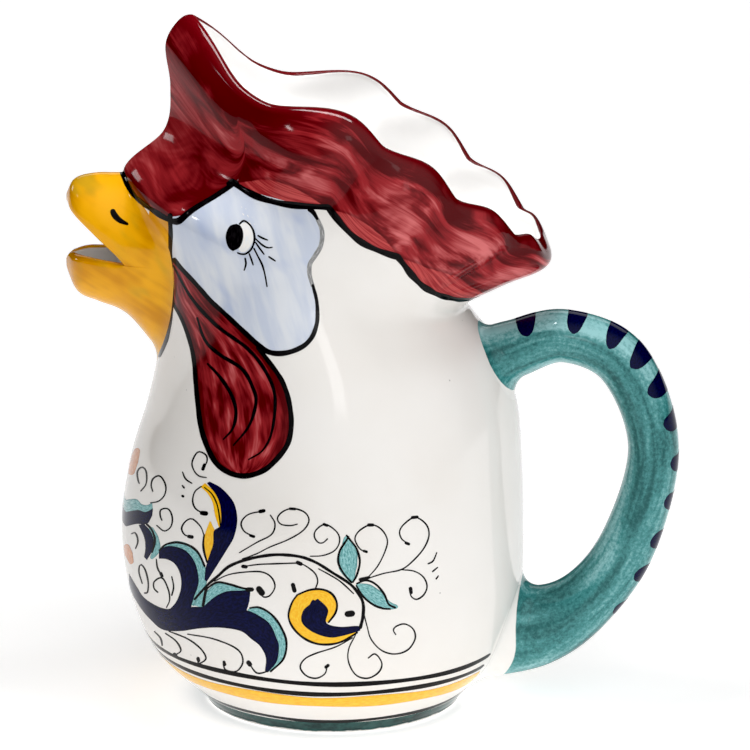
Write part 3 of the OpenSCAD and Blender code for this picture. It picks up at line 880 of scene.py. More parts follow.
def stroke(points, widths, lanes=5):
    """A brush stroke: a band on both sides of a smooth curve, round at its ends, with the slight sway
    of a hand."""
    path, s = smooth_path(points)
    along = unit(np.gradient(path, axis=0))
    side = np.stack([-along[:, 1], along[:, 0]], -1)
    widths = np.atleast_1d(widths)
    half = np.interp(s / s[-1], np.linspace(0, 1, len(widths)), widths) / 2
    half = half * (1 + SWAY * min(1, FIRM_WIDTH / widths.max()) * np.sin(SWAY_PACE * s + path[0, 0]))
    tip = clamp01(np.minimum(s, s[-1] - s) / np.maximum(half, TINY))
    half = half * np.maximum(np.sqrt(1 - (1 - tip) ** 2), TIP_SHARE)
    lane = np.linspace(-1, 1, lanes)
    grid = path[:, None] + side[:, None] * (half[:, None] * lane)[..., None]
    return grid, np.stack(np.broadcast_arrays(s[:, None] / BRUSH_PIXELS, (lane + 1) / 2), -1)


def wash(left, right, count=60, lanes=25):
    """A filled patch: straight bridges between two smooth edges."""
    one, s = smooth_path(left, count=count)
    other, _ = smooth_path(right, count=count)
    lane = np.linspace(0, 1, lanes)
    return (mix(one[:, None], other[:, None], lane[:, None]),
            np.stack(np.broadcast_arrays(s[:, None] / BRUSH_PIXELS, lane), -1))


class Films:
    """Thin films of one pigment on the glaze, gathered into one piece."""

    def __init__(self, canvas=None):
        self.canvas = canvas
        self.points, self.normals, self.uvs, self.quads = [], [], [], []
        self.count = 0

    def add(self, surface, p, q, uv, height, mirror=True):
        """A film over a grid of a surface's parameters: a top that stands the given height over the
        surface, a bottom just under it, and walls between; with its mirror image on the far side."""
        points, normals = with_normals(surface, p, q)
        n, m = p.shape
        across = np.cross(np.gradient(points, axis=1), np.gradient(points, axis=0))
        top = grid_quads(n, m)
        ring = np.concatenate([np.arange(m), np.arange(1, n) * m + m - 1,
                               (n - 1) * m + np.arange(m - 2, -1, -1), np.arange(n - 2, 0, -1) * m])
        after = np.roll(ring, -1)
        quads = np.concatenate([top, top[:, ::-1] + n * m,
                                np.stack([after, ring, ring + n * m, after + n * m], -1)])
        if (across * normals).sum() < 0:
            quads = quads[:, ::-1]
        shell = np.concatenate([points + normals * height, points - normals * FILM_ROOT]).reshape(-1, 3)
        both = np.concatenate([normals, normals]).reshape(-1, 3)
        uv = np.concatenate([uv, uv]).reshape(-1, 2)
        for side in (1, -1) if mirror else (1,):
            flip = np.array([1, side, 1])
            self.points.append(shell * flip)
            self.normals.append(both * flip)
            self.uvs.append(uv)
            self.quads.append(quads[:, ::side] + self.count)
            self.count += len(shell)

    def paint(self, marks, height, to_front=False):
        """A stroke or wash in pixels of the photograph, laid on the canvas, and on the far side too. Marks
        that the photograph's left edge cuts off run on to the front, where both sides meet."""
        grid, uv = marks
        p, q = self.canvas.find(grid)
        if to_front:
            p = p * smooth01(np.arange(len(p)) / FRONT_STEPS)[:, None]
        self.add(self.canvas.surface, p, q, uv, height)

    def make(self, name, material, slot=None, floats=None):
        """The piece, with values at its points that a function of them gives."""
        points = np.concatenate(self.points)
        return make_piece(name, points, np.concatenate(self.quads), material=material,
                          uv=np.concatenate(self.uvs), normals=np.concatenate(self.normals),
                          floats=floats and floats(points))


def skin_ribbon(form, a, u, width, lanes=5):
    """Parameters of a ribbon along a line on the skin: each lane slides square to the line."""
    points, normals = with_normals(form.skin, a, u)
    along = unit(np.gradient(points, axis=0))
    side = np.cross(normals, along)
    lane = np.linspace(-0.5, 0.5, lanes)
    places = [slide_on_skin(form, a, u, side * (width * k)[..., None]) for k in lane]
    walk = np.linalg.norm(np.diff(points, axis=0, prepend=points[:1]), axis=-1).cumsum()
    uv = np.stack(np.broadcast_arrays(walk[:, None] / BRUSH_METRES, lane + 0.5), -1)
    return (*(np.stack(x, -1) for x in zip(*places)), uv)


# Brush marks, as x, y, x, y... in pixels of the photograph

FACE_TOP = (171, 217, 187, 214, 205, 205.5, 219, 194.5, 232, 181.5, 245, 188.5, 260, 194, 290, 202,
            309, 205)
FACE_LOW = (171, 217, 171, 240, 172, 258, 186, 272, 211, 301, 242, 330, 260, 348, 277, 353, 296, 349,
            309, 341, 316, 328, 317, 306, 312, 282, 309, 268, 316, 255, 322, 240, 320, 224, 309, 205)
FACE_LINE_START = (308, 208, 313, 212, 318, 220)
FACE_LINE_PALE = (317, 218, 322, 231, 321, 245, 315, 256, 310, 264, 309.5, 274, 313, 287)
FACE_LINE = (312.5, 284, 316.5, 300, 317.5, 314, 316.5, 325, 312, 337, 303.5, 346, 290, 352, 277, 353.5,
             266.5, 351, 256, 343, 242, 330, 225, 314, 211, 301, 195, 283, 181, 268, 173, 258)
PUPIL = ((236.5, 223.8, 230, 226, 226.3, 233, 226, 240, 228.5, 247.5, 233, 251.2),
         (236.5, 223.8, 241, 226.5, 243.3, 233, 242.7, 240.5, 239.5, 247.5, 233, 251.2))
EYE_WHITE = (243, 223, 246.5, 238, 241.5, 252)
EYE_LINE = (239, 224.5, 244, 220.8, 250, 225, 253.6, 231.5, 254.5, 240, 251.5, 248.8, 246, 253.7, 241, 254,
            237, 252.5)
LASHES = {
    "first": (257.4, 235.2, 262.3, 238, 268.3, 240.3),
    "second": (255.2, 238.5, 262.3, 245, 267.7, 247.7, 273, 247.2),
    "third": (255.2, 241.8, 260, 248.8, 264.5, 254.8),
    "third_end": (268.3, 256.4, 275.9, 261.3),
    "longest": (253.6, 247.7, 258, 256.4, 262.3, 265, 265, 274.8, 267.2, 287.3),
    "fifth": (249, 253, 251.5, 259.7, 253.4, 265.6),
    "last": (245, 257.5, 246, 264, 244, 271),
}
WATTLE_LEFT = (173, 259, 172, 280, 173, 302, 183, 322, 193, 354, 197, 395, 202, 431, 214, 460, 228, 472,
               243, 475)
WATTLE_RIGHT = (173, 259, 181, 267, 211, 302, 242, 331, 263, 354, 283, 383, 291, 415, 288, 443, 269, 467,
                243, 475)
WATTLE_LINE = (171, 300, 183, 322, 193, 354, 197, 395, 202, 431, 214, 460, 228, 472, 243, 476, 258, 473,
               272, 464, 288, 443, 291, 415, 283, 383, 263, 354, 257, 346)
WATTLE_FOLDS = {
    "long": (173, 265, 191, 297, 216, 325, 248, 349, 266, 372, 275, 397, 272, 431, 263, 450, 248, 460),
    "middle": (197, 317, 205, 340, 219, 354, 242, 369, 253, 388, 256, 403, 249, 426, 233, 446),
    "short": (207, 363, 220, 377, 231, 394, 236, 411, 233, 428, 223, 440),
}
NOSTRIL = (112, 209, 114.5, 215, 120, 220.5, 128.5, 224.5)
BEAK_SEAM = (150, 199, 148, 235, 147, 255, 147, 275, 148, 300, 149, 330, 153, 356)
BEAK_REAR = (170.2, 213, 170.8, 235, 170.4, 254, 171.5, 274, 172.2, 294, 170.8, 314, 168.8, 328.7,
             164.8, 343.5, 158, 357)
CUSP_LINE = (227, 185.5, 230, 182.5, 232.5, 181, 235.5, 182.5, 239, 185)
COMB_LAP = (122, 168, 124, 175, 128, 185, 134, 195, 142, 203, 154, 211.5, 164, 216.5, 172, 218.5)
NAVY_WASHES = {
    "bud": ((207, 483, 216.5, 495.6, 220.6, 508, 220.6, 525, 214, 531, 213.2, 544, 209.8, 554.6,
             205.8, 568, 204.5, 580),
            (209.8, 481.6, 220.6, 487.6, 230, 497, 235.3, 506.4, 237.3, 521, 234, 537, 227.3, 549,
             218, 564, 207, 581.4)),
    "c_scroll": ((159, 551, 165.6, 546.5, 175, 546.5, 185.7, 550.6, 193.8, 560, 197.8, 572, 198.5, 584,
                  194, 597.4, 190, 611),
                 (159, 558.6, 167, 559.3, 175, 564, 180.4, 574.7, 181, 588, 176.4, 601.5, 168, 611)),
    "ground_leaf": ((129, 574, 137.5, 588, 144, 597.5, 156, 605.5, 167, 609, 178, 607, 203, 606.8,
                     222, 606, 246, 610, 258, 615, 270, 624, 277, 639, 279, 646, 277, 661, 268, 672.4),
                    (129, 588, 140, 606.8, 151, 620, 163, 629.6, 180.4, 631, 200.5, 628.3, 220.6, 627.6,
                     240.7, 631, 251.4, 639, 260, 646, 265.8, 657.4, 265, 671)),
    "middle_lobe": ((203, 607, 213.9, 597.5, 226, 591.5, 240, 590.5, 249.5, 591, 249.5, 600),
                    (203, 610, 222, 612, 240, 613, 246, 611, 249.5, 601)),
    "spiral": ((318, 598.6, 328, 609.4, 326.3, 622.6, 339.6, 626.8, 357.8, 626, 360.3, 630),
               (317, 599, 309.7, 604.4, 303, 611, 301.4, 621, 308, 629, 319.7, 635, 333, 637.5, 349.5, 634,
                360.3, 630.5)),
    "breast_leaf": ((144, 523.8, 151, 531.8, 153.6, 541, 152.2, 550.6, 147, 560),
                    (138.8, 525, 144.2, 537, 145.5, 548, 144.2, 557)),
}
NAVY_STROKES = {
    "spiral_head": ((310, 608, 319, 606), (17, 18)),
}
NAVY_CAP = ((124, 512.5, 137.5, 510, 145.5, 512, 152.9, 508.5),
            (124, 527, 136, 524, 147, 523.8, 152.2, 515.7))
TEAL_CAP = ((124, 500, 136, 499, 141.5, 504, 147, 505, 152.2, 503),
            (124, 514, 137.5, 512, 145.5, 514, 152.9, 509.5))
TEAL_WASHES = {
    "c_scroll": ((161, 549, 166, 544, 176.4, 541, 188.4, 544, 197.8, 552, 204.5, 564, 207, 577, 205, 588,
                  194, 606),
                 (163, 551, 172, 550, 182, 553, 190, 560, 194, 572, 194, 584, 188, 604)),
    "ground_leaf": ((248, 609, 259.4, 608, 271.5, 615, 281, 627, 286, 641, 283.2, 659, 270, 671.5),
                    (248, 615, 257, 618, 267, 626, 273, 639, 275, 647, 272, 660, 268, 671)),
    "fork": ((205, 586, 199, 594, 193, 605), (207, 590, 204.5, 598, 203.5, 608)),
    "middle_lobe": ((201, 606, 205, 594, 216.5, 583, 228.6, 584, 242, 588, 252, 590),
                    (206, 608, 214, 600, 226, 595, 240, 594, 250, 593)),
}
TEAL_STROKES = {
    "upper_leaf": ((352.5, 583, 348, 567, 348.5, 552, 346, 536), (3, 19, 18, 4)),
    "side_leaf": ((356, 585, 366, 590, 377, 598, 387, 605, 398, 607), (4, 14, 16, 10, 3)),
    "breast_leaf": ((150, 527, 155, 538, 156.5, 549, 151, 559), (4, 7, 8, 3)),
}
YELLOW_WASHES = {
    "upper_petal": ((200.5, 487, 207.2, 493, 212.5, 502.3, 215.2, 515.7, 219.2, 528),
                    (205, 483, 218, 495.6, 223, 510.4, 222, 528)),
    "lower_petal": ((209.8, 521, 204.5, 535.8, 203.8, 545.2, 205.8, 554.6, 207.2, 562.6),
                    (211, 522, 216, 534.5, 215, 545.2, 208, 562)),
    "spiral": ((328, 623, 335, 612, 336, 602.7, 331, 594, 321, 590, 309.5, 590.5, 298, 595, 292, 603,
                289, 616, 293.5, 627, 303.5, 637, 316, 643, 330, 643.7, 343, 640.5, 357, 632.5),
               (325, 621, 327, 610, 324, 604, 318, 600, 313, 602, 309, 606, 305, 611, 303.5, 616, 304, 622,
                309.5, 629, 320, 634.5, 333, 636.5, 346, 634.5, 357, 631)),
}
PEACH_STROKES = {
    "upper_bud": ((138, 448, 134, 461, 130.5, 475), (5, 9, 6)),
    "lower_bud": ((126, 544, 128.5, 553, 132, 564), (5, 8, 4)),
}
STEMS = {
    "main": (194, 600, 207, 585.5, 218, 576, 229, 566.5, 245, 560, 263.5, 556, 280, 554.7, 300, 556.7,
             316, 562.5, 333, 573, 349.5, 583.6, 358, 593, 363, 603, 363, 616, 360, 629),
    "lobe_base": (203, 607, 205, 595, 207, 586),
}
OUTLINES = {
    "spiral": (298, 594, 292, 602.7, 288.5, 616, 293, 627.6, 303, 637.5, 316, 643.5, 330, 644.3, 343, 641,
               358, 632),
    "spiral_top": (298, 594.5, 309.5, 590, 321.3, 589.3, 331.5, 593.5, 336.8, 602.7, 335.5, 612.7,
                   328, 623),
    "ground_leaf": (249, 608, 259.5, 607.5, 271.5, 614.5, 281, 627, 286.5, 642.5, 283.3, 659, 270, 672),
    "middle_lobe": (205, 590, 216.5, 582.5, 228.5, 584, 242, 588, 252, 589.5),
    "c_scroll": (159, 551, 166, 544.5, 178, 542.5, 191, 546.5, 199, 554, 205, 567),
    "lower_petal": (204.3, 534, 203.3, 545, 205, 555, 207.5, 563),
    "upper_leaf_left": (352.3, 583, 344.5, 574.5, 338.4, 563, 339.6, 551.3, 346, 541, 349, 536),
    "upper_leaf_right": (346, 534.7, 351, 541, 356.5, 548.5, 359.8, 561.3, 357, 574.5, 352.3, 583),
    "side_leaf_top": (356, 584, 366, 580.3, 376, 584.5, 384.3, 594.4, 388.5, 604, 396, 608),
    "side_leaf_low": (356, 585, 362.8, 596, 372.7, 604.4, 382.7, 608.3, 391, 609),
    "breast_leaf": (146, 523.5, 152, 530, 155, 541, 152, 553),
}
TENDRILS = {
    "bud_curl": (202, 486, 195, 491.6, 192.7, 501, 196, 509, 205, 514),
    "bud_tendril": (204, 535, 200.5, 526.5, 192.5, 519, 186, 521, 181.7, 528, 184.5, 534.5, 191, 537),
    "top_curl": (207, 477.6, 199, 476, 193.8, 470, 192.2, 462, 198, 452, 206, 455, 207, 461.5, 203, 469),
    "dash_long": (182.4, 471.5, 185.7, 479, 192.4, 483.6),
    "dash_short": (182, 485, 184.7, 488.5),
    "curl_a": (239, 553, 256.7, 542.5, 271.5, 534.5, 275, 523.8, 270, 514.5),
    "curl_a_inner": (263.4, 511, 248.7, 514.4, 241.3, 522.4, 244, 531, 253.4, 536.5),
    "curl_b": (242, 559, 256.6, 553.8, 270, 547, 288, 539.7, 303, 530.6, 309, 520.6, 304.7, 512.3,
               293, 508.5, 283, 511.5, 277.5, 518, 280.7, 524, 290, 525.6, 298, 524),
    "curl_c": (309.7, 556.3, 323, 555.5, 334.6, 550.5, 339.6, 541.4, 337, 532.2, 325.5, 524.4,
               316.3, 529.8, 314.3, 536.4, 318, 542.2, 323, 542.7, 328, 538.4),
    "curl_d": (367.7, 577.8, 377.7, 566, 385, 551.3, 387.3, 539.7, 381, 529, 370.7, 524.8, 359.5, 530.6,
               355, 538, 357, 544.7, 361, 549.7, 366, 551.6),
    "curl_e": (360, 581, 382.7, 573.7, 401, 569.6, 412.5, 561.3, 424, 548, 429, 534.7, 425.8, 524,
               415, 517.3, 404.2, 524, 399.6, 531.4, 401.7, 538.9, 408.4, 543.8),
    "curl_f": (401, 569.6, 414.2, 571.2, 423.3, 577, 427, 586, 424, 594.4, 416.7, 599.4, 411, 596,
               410.5, 590),
    "curl_g": (363.6, 612.7, 367, 626, 371, 639, 381, 650, 394.3, 654, 407.5, 650, 415, 639, 413.3, 629.3,
               405, 624, 396.8, 626, 393.4, 630, 396, 635),
    "curl_h": (356, 634, 348.7, 649, 348.7, 662.4, 356, 675, 367.7, 678.2, 378.5, 672.4, 381.8, 663.2,
               375.2, 654, 367.7, 658.3),
    "curl_i": (353, 637.5, 336, 646.7, 316, 653.3, 304.7, 659, 300.2, 667.4, 306.4, 675.7, 316.3, 678.2,
               324.6, 674, 327, 667.4),
    "dry_line": (243, 566.6, 258, 564.5, 274, 563.8, 299, 563),
    "dry_end": (318, 568.5, 330, 575, 341, 582, 354, 594),
    "drop": (299, 563.5, 305, 565.5, 314.7, 573, 317.7, 581, 315.5, 588.6),
    "base_tendril": (214, 581.4, 228.6, 574.7, 246, 572, 262, 572, 271.5, 577.4, 275, 586.7, 270, 595.4,
                     263.4, 596.8, 260, 591),
    "spark_a": (437, 552, 433, 561, 427.5, 564),
    "spark_b": (438, 567, 432, 572),
    "spark_c": (438.6, 575.4, 435.7, 579.5),
    "root_a": (187, 634, 214, 639, 237, 649, 243, 661, 237, 671, 226, 670, 223, 663),
    "root_b": (168.5, 631, 188, 639, 201, 649, 206, 658.5, 199, 663.5, 198, 660),
    "root_c": (165, 633, 176, 641, 181, 650.5, 175, 655),
    "root_e": (154, 631, 160.5, 638, 162.5, 646),
    "petal_line": (204, 487, 212, 494, 217, 504, 219.5, 516, 220.5, 527),
    "root_d": (249, 663, 257, 673, 269, 671),
    "left_a": (150, 503, 159, 501, 165, 494.3, 165.6, 485, 160.3, 476.2, 153.6, 478.2, 151.3, 485,
               153, 492),
    "left_b": (156.3, 525, 164.3, 531, 171, 526.5, 172.3, 517, 168.3, 509, 161, 509.7, 160.3, 515.7,
               162.3, 521),
    "left_c": (140.5, 491.6, 146.2, 483.6, 146.2, 471.5, 142, 467, 137.5, 471.5, 138, 479.6, 139.5, 484),
    "c_curl": (156.3, 558.6, 157.6, 568, 161.6, 575.3),
    "c_curl_low": (166.3, 608, 169.7, 600, 168.3, 589.4, 162.3, 578, 154.5, 581.4, 154, 588, 158.3, 592.8),
    "c_line": (171.7, 576, 173.7, 586.7, 171.7, 596),
    "breast_loop": (142.5, 584, 139, 572, 140.5, 564.5, 145, 569.3, 148.2, 581.4, 147.6, 592, 144, 593),
    "breast_curl": (131, 534, 135.5, 533, 138, 541, 135.5, 549),
}
# Blobs at the ends of lines: start, end and width
BLOBS = {
    "bud_curl": (202, 513, 206, 513.5, 4.5), "bud_tendril": (189, 536.5, 192, 537, 3.6),
    "top_curl": (204.5, 465, 203, 469, 3.4), "dot": (182.7, 496, 183.1, 496.3, 2.6),
    "curl_a": (260, 511.5, 264, 510.8, 3.4), "curl_a_inner": (250.5, 535.5, 253.8, 536.6, 3),
    "curl_b": (290, 508.7, 295, 509, 2.6), "curl_c": (324, 524.3, 327, 525.5, 2.8),
    "curl_d": (368.8, 525, 372.6, 525, 3.4), "curl_e": (412.5, 517.5, 417, 517, 3.2),
    "curl_e_end": (406, 543, 408.6, 544, 3), "curl_f": (410.5, 588.5, 411, 592.5, 3.6),
    "curl_d_end": (364, 551, 366.5, 551.8, 2.8), "drop": (293, 585, 294.5, 590.5, 4.4),
    "stem_dot": (347.5, 614, 352, 613.5, 6), "dry": (297.5, 562.5, 301, 564, 3.6),
    "dry_start": (243, 566.4, 246, 566.8, 3.6), "base": (259, 589, 262, 593, 6),
    "fork": (360, 579.5, 369, 577.5, 3), "c_curl": (161, 573.5, 162, 576, 3.2),
    "lobe_tip": (247.5, 589.5, 252, 589.5, 4), "root_a": (224, 662, 225, 664.5, 3),
    "root_b": (198, 658.5, 198.7, 660.5, 3.4), "root_c": (174.5, 654, 176, 655, 3),
    "root_d": (248.5, 662.5, 250, 664.5, 4.4), "curl_i": (326, 667, 328, 665.5, 3.4),
}

# Widths along brush strokes, in pixels
WIDTHS = {
    "nostril": (5.5, 6, 5, 2.5), "beak": (4.5, 4, 3.6, 4, 4.4), "cusp": (4, 5, 4), "eye_white": (12, 15, 9),
    "eye_line": (1.6, 2.2, 1.6), "lash": (1.6, 1.9, 1.2), "pale": (4, 4.6, 4.6, 4), "face_start": (5.5, 3),
    "face_line": (3, 4.5, 5.5, 5, 4.5, 4.5), "wattle": (3, 4.5, 5.5, 5.5, 5, 4.5),
    "fold": (2, 3.8, 3.8, 3.4, 1.5), "stem": (2.2, 3.2, 3, 2.8, 3.4), "outline": (1.8, 2.3, 2),
    "tendril": (1.1, 1.4, 1.6, 1.3),
}

# Painted bands round the belly: their middle height and width in millimetres
BANDS = {"upper": (23.4, 1.7), "lower": (19.4, 1.7), "foot": (6, 1.4)}
YELLOW_BAND = (15.5, 4.5)
# Where the bands end, in degrees from the beak, and how far they rise towards the breast, in millimetres
BAND_END, LOWER_END, FOOT_END = 158.5, 157.5, 179.9
BAND_LEAN, FOOT_LEAN = 1.6, 0.2
BAND_FADE, LEAST_PRESS, BAND_GRID = 0.03, 0.1, (420, 7)
BELLY_ROW, BELLY_STEPS = 3, 400
# The hand's slow and quick sway along the bands and its press on the brush: size, and waves to a turn
SLOW_SWAY, QUICK_SWAY, PRESS_SWAY = (0.25, 3), (0.15, 7), (0.12, 9)


# Operators

def hen_form(context):
    return HenForm(context.scene.hen_sizes)


def finish_of(make, context):
    """A material, made once."""
    return bpy.data.materials.get(make.__name__) or make(context.scene.hen_colours)


def skin_canvas(context):
    form = hen_form(context)
    spans = (ROW_MARGIN, math.pi - ROW_MARGIN), (ROW_MARGIN, form.top - ROW_MARGIN)
    return form, Canvas(form.skin, *spans, context.scene.hen_studio)


def lay(context, canvas, name, finish, height, marks, slot=None):
    """A piece of one pigment from strokes and washes in pixels of the photograph."""
    film = Films(canvas)
    for mark in marks:
        film.paint(mark, height)
    film.make(name, finish_of(finish, context), slot)


# Points round rings, and rows: level ones and ones that spread out to the comb's edge
ROUND, COMB_ROUND, SPOUT_ROUND = 288, 432, 64
EDGE_COLUMNS = np.radians(np.linspace(-4, 1, 40))
HEAD_ROW, OUTER_ROWS, INNER_ROWS = 8, (100, 40), (50, 24)


def ring_angles(n=ROUND):
    """Angles round a ring: even ones, and close ones where the comb's edge climbs on both sides."""
    climb = np.arccos(1 - CUSPS[0] / EDGE_SHARE) + EDGE_COLUMNS
    even = np.linspace(0, 2 * np.pi, n, endpoint=False)
    return np.unique(np.concatenate([even, climb, 2 * np.pi - climb]))


def body_rows(edge, level, slanted):
    """Rows of the body: level ones up to the head, then rows that spread out to the comb's edge."""
    low = np.linspace(0, HEAD_ROW, level, endpoint=False)[:, None] + 0 * edge
    return np.concatenate([low, mix(HEAD_ROW, edge, np.linspace(0, 1, slanted)[:, None])])


class HEN_OT_body(Operator):
    """Makes the white body: belly, neck and head, hollow, with its floor and spout hole"""
    bl_idname = "hen.body"
    bl_label = "Body"

    def execute(self, context):
        form = hen_form(context)
        s = form.sizes
        a = ring_angles()
        edge = form.comb_edge(a)
        outer = form.skin(a, body_rows(edge, *OUTER_ROWS))
        inner = form.skin(a, body_rows(edge, *INNER_ROWS)[::-1], s.wall)
        inner[..., 2] = np.maximum(inner[..., 2], s.foot_h + s.floor_t)
        rings = np.concatenate([outer, inner])
        n, columns = rings.shape[:2]
        points = np.concatenate([rings.reshape(-1, 3), outer[:1].mean(1), inner[-1:].mean(1)])
        quads = grid_quads(n, columns, wrap_columns=True)
        tris = np.concatenate([fan(np.arange(columns), n * columns, flip=True),
                               fan(np.arange((n - 1) * columns, n * columns), n * columns + 1)])
        piece = make_piece("body_glaze", points, quads, tris, finish_of(tin_glaze, context),
                           replaces=["body_shell"])
        cut_spout(piece, s)
        return {"FINISHED"}


def cut_spout(piece, s):
    """Cuts the spout hole: a cylinder along the beak, taken out by a Boolean modifier that is applied."""
    n = SPOUT_ROUND
    turn = np.linspace(0, 2 * np.pi, n, endpoint=False)
    ring = np.stack([np.zeros_like(turn), np.cos(turn), np.sin(turn)], -1) * s.spout_d / 2
    ends = np.array([[-s.beak_reach, 0, s.mouth_z], [-s.neck_front / 2, 0, s.mouth_z]])
    points = np.concatenate([(ends[:, None] + ring).reshape(-1, 3), ends])
    quads = grid_quads(2, n, wrap_columns=True)[:, ::-1]
    tris = np.concatenate([fan(np.arange(n), 2 * n), fan(np.arange(n, 2 * n), 2 * n + 1, flip=True)])
    mesh = bpy.data.meshes.new("spout_cutter")
    mesh.from_pydata(points.tolist(), [], quads.tolist() + tris.tolist())
    cutter = bpy.data.objects.new("spout_cutter", mesh)
    bpy.context.scene.collection.objects.link(cutter)
    cut = piece.modifiers.new("spout", "BOOLEAN")
    cut.operation, cut.solver, cut.object = "DIFFERENCE", "EXACT", cutter
    graph = bpy.context.evaluated_depsgraph_get()
    piece.data = bpy.data.meshes.new_from_object(piece.evaluated_get(graph))
    piece.modifiers.clear()
    bpy.data.objects.remove(cutter)


# The foot's eased edges, where its side begins, and how far the paint covers the lower ease
EASE, EASE_STEPS, SIDE_STEPS, SIDE_START, EASE_PAINT = 1.2 * MM, 7, 8, 0.2, 0.6


class HEN_OT_foot(Operator):
    """Makes the turned foot ring with its painted outer side"""
    bl_idname = "hen.foot"
    bl_label = "Foot ring"

    def execute(self, context):
        s = context.scene.hen_sizes
        outer, inner = s.foot_d / 2, s.foot_d / 2 - s.foot_wall
        bend = np.linspace(0, np.pi / 2, EASE_STEPS)
        side = np.linspace(SIDE_START, 1, SIDE_STEPS)
        ease, low = EASE * (1 - np.sin(bend)), EASE * (1 - np.cos(bend))
        profile = np.concatenate([
            np.stack([inner + ease, low], -1)[::-1],
            np.stack([outer - ease, low], -1),
            np.stack([mix(outer, outer + s.foot_flare, side), mix(EASE, s.foot_h, side)], -1),
            [[inner, s.foot_h]]])
        painted = np.concatenate([np.zeros(EASE_STEPS), np.linspace(0, EASE_PAINT, EASE_STEPS),
                                  np.ones(SIDE_STEPS), [0]])
        a = np.linspace(0, 2 * np.pi, ROUND, endpoint=False)[:, None]
        points = np.stack([-profile[:, 0] * np.cos(a), -profile[:, 0] * np.sin(a),
                           np.broadcast_to(profile[:, 1], (ROUND, len(profile)))], -1)
        make_piece("foot_ring_glaze", points, grid_quads(ROUND, len(profile), True, True)[:, ::-1],
                   material=finish_of(foot_glaze, context), floats={"painted": np.tile(painted, ROUND)},
                   replaces=["foot_ring"])
        return {"FINISHED"}


# The comb's rows and its lip, whose way up is taken from the rim and a row a little under it
COMB_ROWS, LIP_STEPS, UNDER_RIM = 64, 14, 0.3


class HEN_OT_comb(Operator):
    """Makes the comb: the fluted wall round the filling mouth with its rounded lip"""
    bl_idname = "hen.comb"
    bl_label = "Comb"

    def execute(self, context):
        form = hen_form(context)
        a = ring_angles(COMB_ROUND)
        n = len(a)
        edge = form.comb_edge(a)
        rise = np.linspace(0, 1, COMB_ROWS)[:, None]
        outer = form.skin(a, mix(edge, form.top, rise))
        inner = form.skin(a, mix(edge, form.top, rise[::-1]), form.sizes.wall)
        up = unit(outer[-1] - form.skin(a, form.top - UNDER_RIM))
        turn = np.linspace(0, np.pi, LIP_STEPS)[1:-1, None, None]
        gap = (outer[-1] - inner[0]) / 2
        lip = ((outer[-1] + inner[0]) / 2 + np.cos(turn) * gap
               + np.sin(turn) * np.linalg.norm(gap, axis=-1, keepdims=True) * up)
        rings = np.concatenate([outer, lip, inner])
        inside = np.concatenate([np.zeros(COMB_ROWS), turn.ravel() / np.pi, np.ones(COMB_ROWS)])
        high = np.concatenate([rise.ravel(), np.ones(len(turn)), rise[::-1].ravel()])
        share = np.broadcast_to(share_at(a, EDGE_SHARE), (len(rings), n))
        rises = np.broadcast_to(high[:, None], (len(rings), n))
        swag = np.where(share < CUSPS[0], 0, np.sin(np.pi * form.scallop(share)[1]))
        make_piece("comb_glaze", rings, grid_quads(len(rings), n, True, True),
                   material=finish_of(comb_paint, context),
                   floats={"inner": np.repeat(inside, n), "rise": rises, "share": share, "swag": swag,
                           "lobe": form.lobe_wave(share, rises)},
                   replaces=["comb_rim"])
        return {"FINISHED"}


# The bills: lines round them, steps along them, their lips and their hollow
BILL_LINES, BILL_STEPS, BILL_LIPS, ROOT_CLOSE = 65, 90, 9, 1.5
BILL_ROWS = len(UPPER_SHARES) - 1
BILL_END = BILL_ROWS * 0.9995
LIP_ROUND, LIP_RUN, LIP_SHARE = 2 * MM, 5 * MM, 0.8
HOLLOW_SHARE, HOLLOW_ROUND, HOLLOW_LAP = 0.86, 8, 0.05
BILL_FILLET, RIDGE_FILLET = 4 * MM, 0.8 * MM
# Where the search for the bills' roots begins: their row, the angle, and the row of the head
SEAT_ROW, SEAT_TURN, SEAT_HEIGHTS = 1.3, math.radians(26), {True: 8.2, False: 7.4}
# The part of the upper bill that is painted on, and the comb's line over it, which runs aslant
BILL_SPANS, LAP_SLANT = ((0.02, 0.6), (0.8, 4.2)), 0.75


def bill_seat(form, upper, t, inset=0.0):
    """Where a bill's lines run into the head: their rows, and the skin's parameters there."""
    start = np.broadcast_arrays(SEAT_ROW, SEAT_TURN * np.cos(np.pi * t), SEAT_HEIGHTS[upper])
    return meet_skin(form, lambda row: form.bill(upper, t, row, inset), start)


def bill_fillet(upper, t):
    """Radius of the round between a bill and the head: small on top, where the comb stands over the bill."""
    return mix(BILL_FILLET, RIDGE_FILLET, np.sin(np.pi * t) ** 3 if upper else 0)


def root_spread(form, points, a, u, middle):
    """The way outwards along the skin round a root: away from its middle, without the part off the skin."""
    _, normals = with_normals(form.skin, a, u)
    out = points - middle
    return unit(out - (out * normals).sum(-1, keepdims=True) * normals)


def comb_lap(points, studio):
    """How far points lie inside the line on which the comb laps over the beak, in pixels of the photograph
    and from LAP_MIDDLE on, so that pieces without this value have none."""
    near = np.stack([points[..., 0], -np.abs(points[..., 1]), points[..., 2]], -1)
    x, y = np.moveaxis(to_photo(near, studio), -1, 0)
    line = np.reshape(COMB_LAP, (-1, 2))
    inside = LAP_SLANT * (x - np.interp(y, line[:, 1], line[:, 0]))
    return np.maximum(LAP_MIDDLE + np.minimum(inside, line[-1, 1] - y), 0)


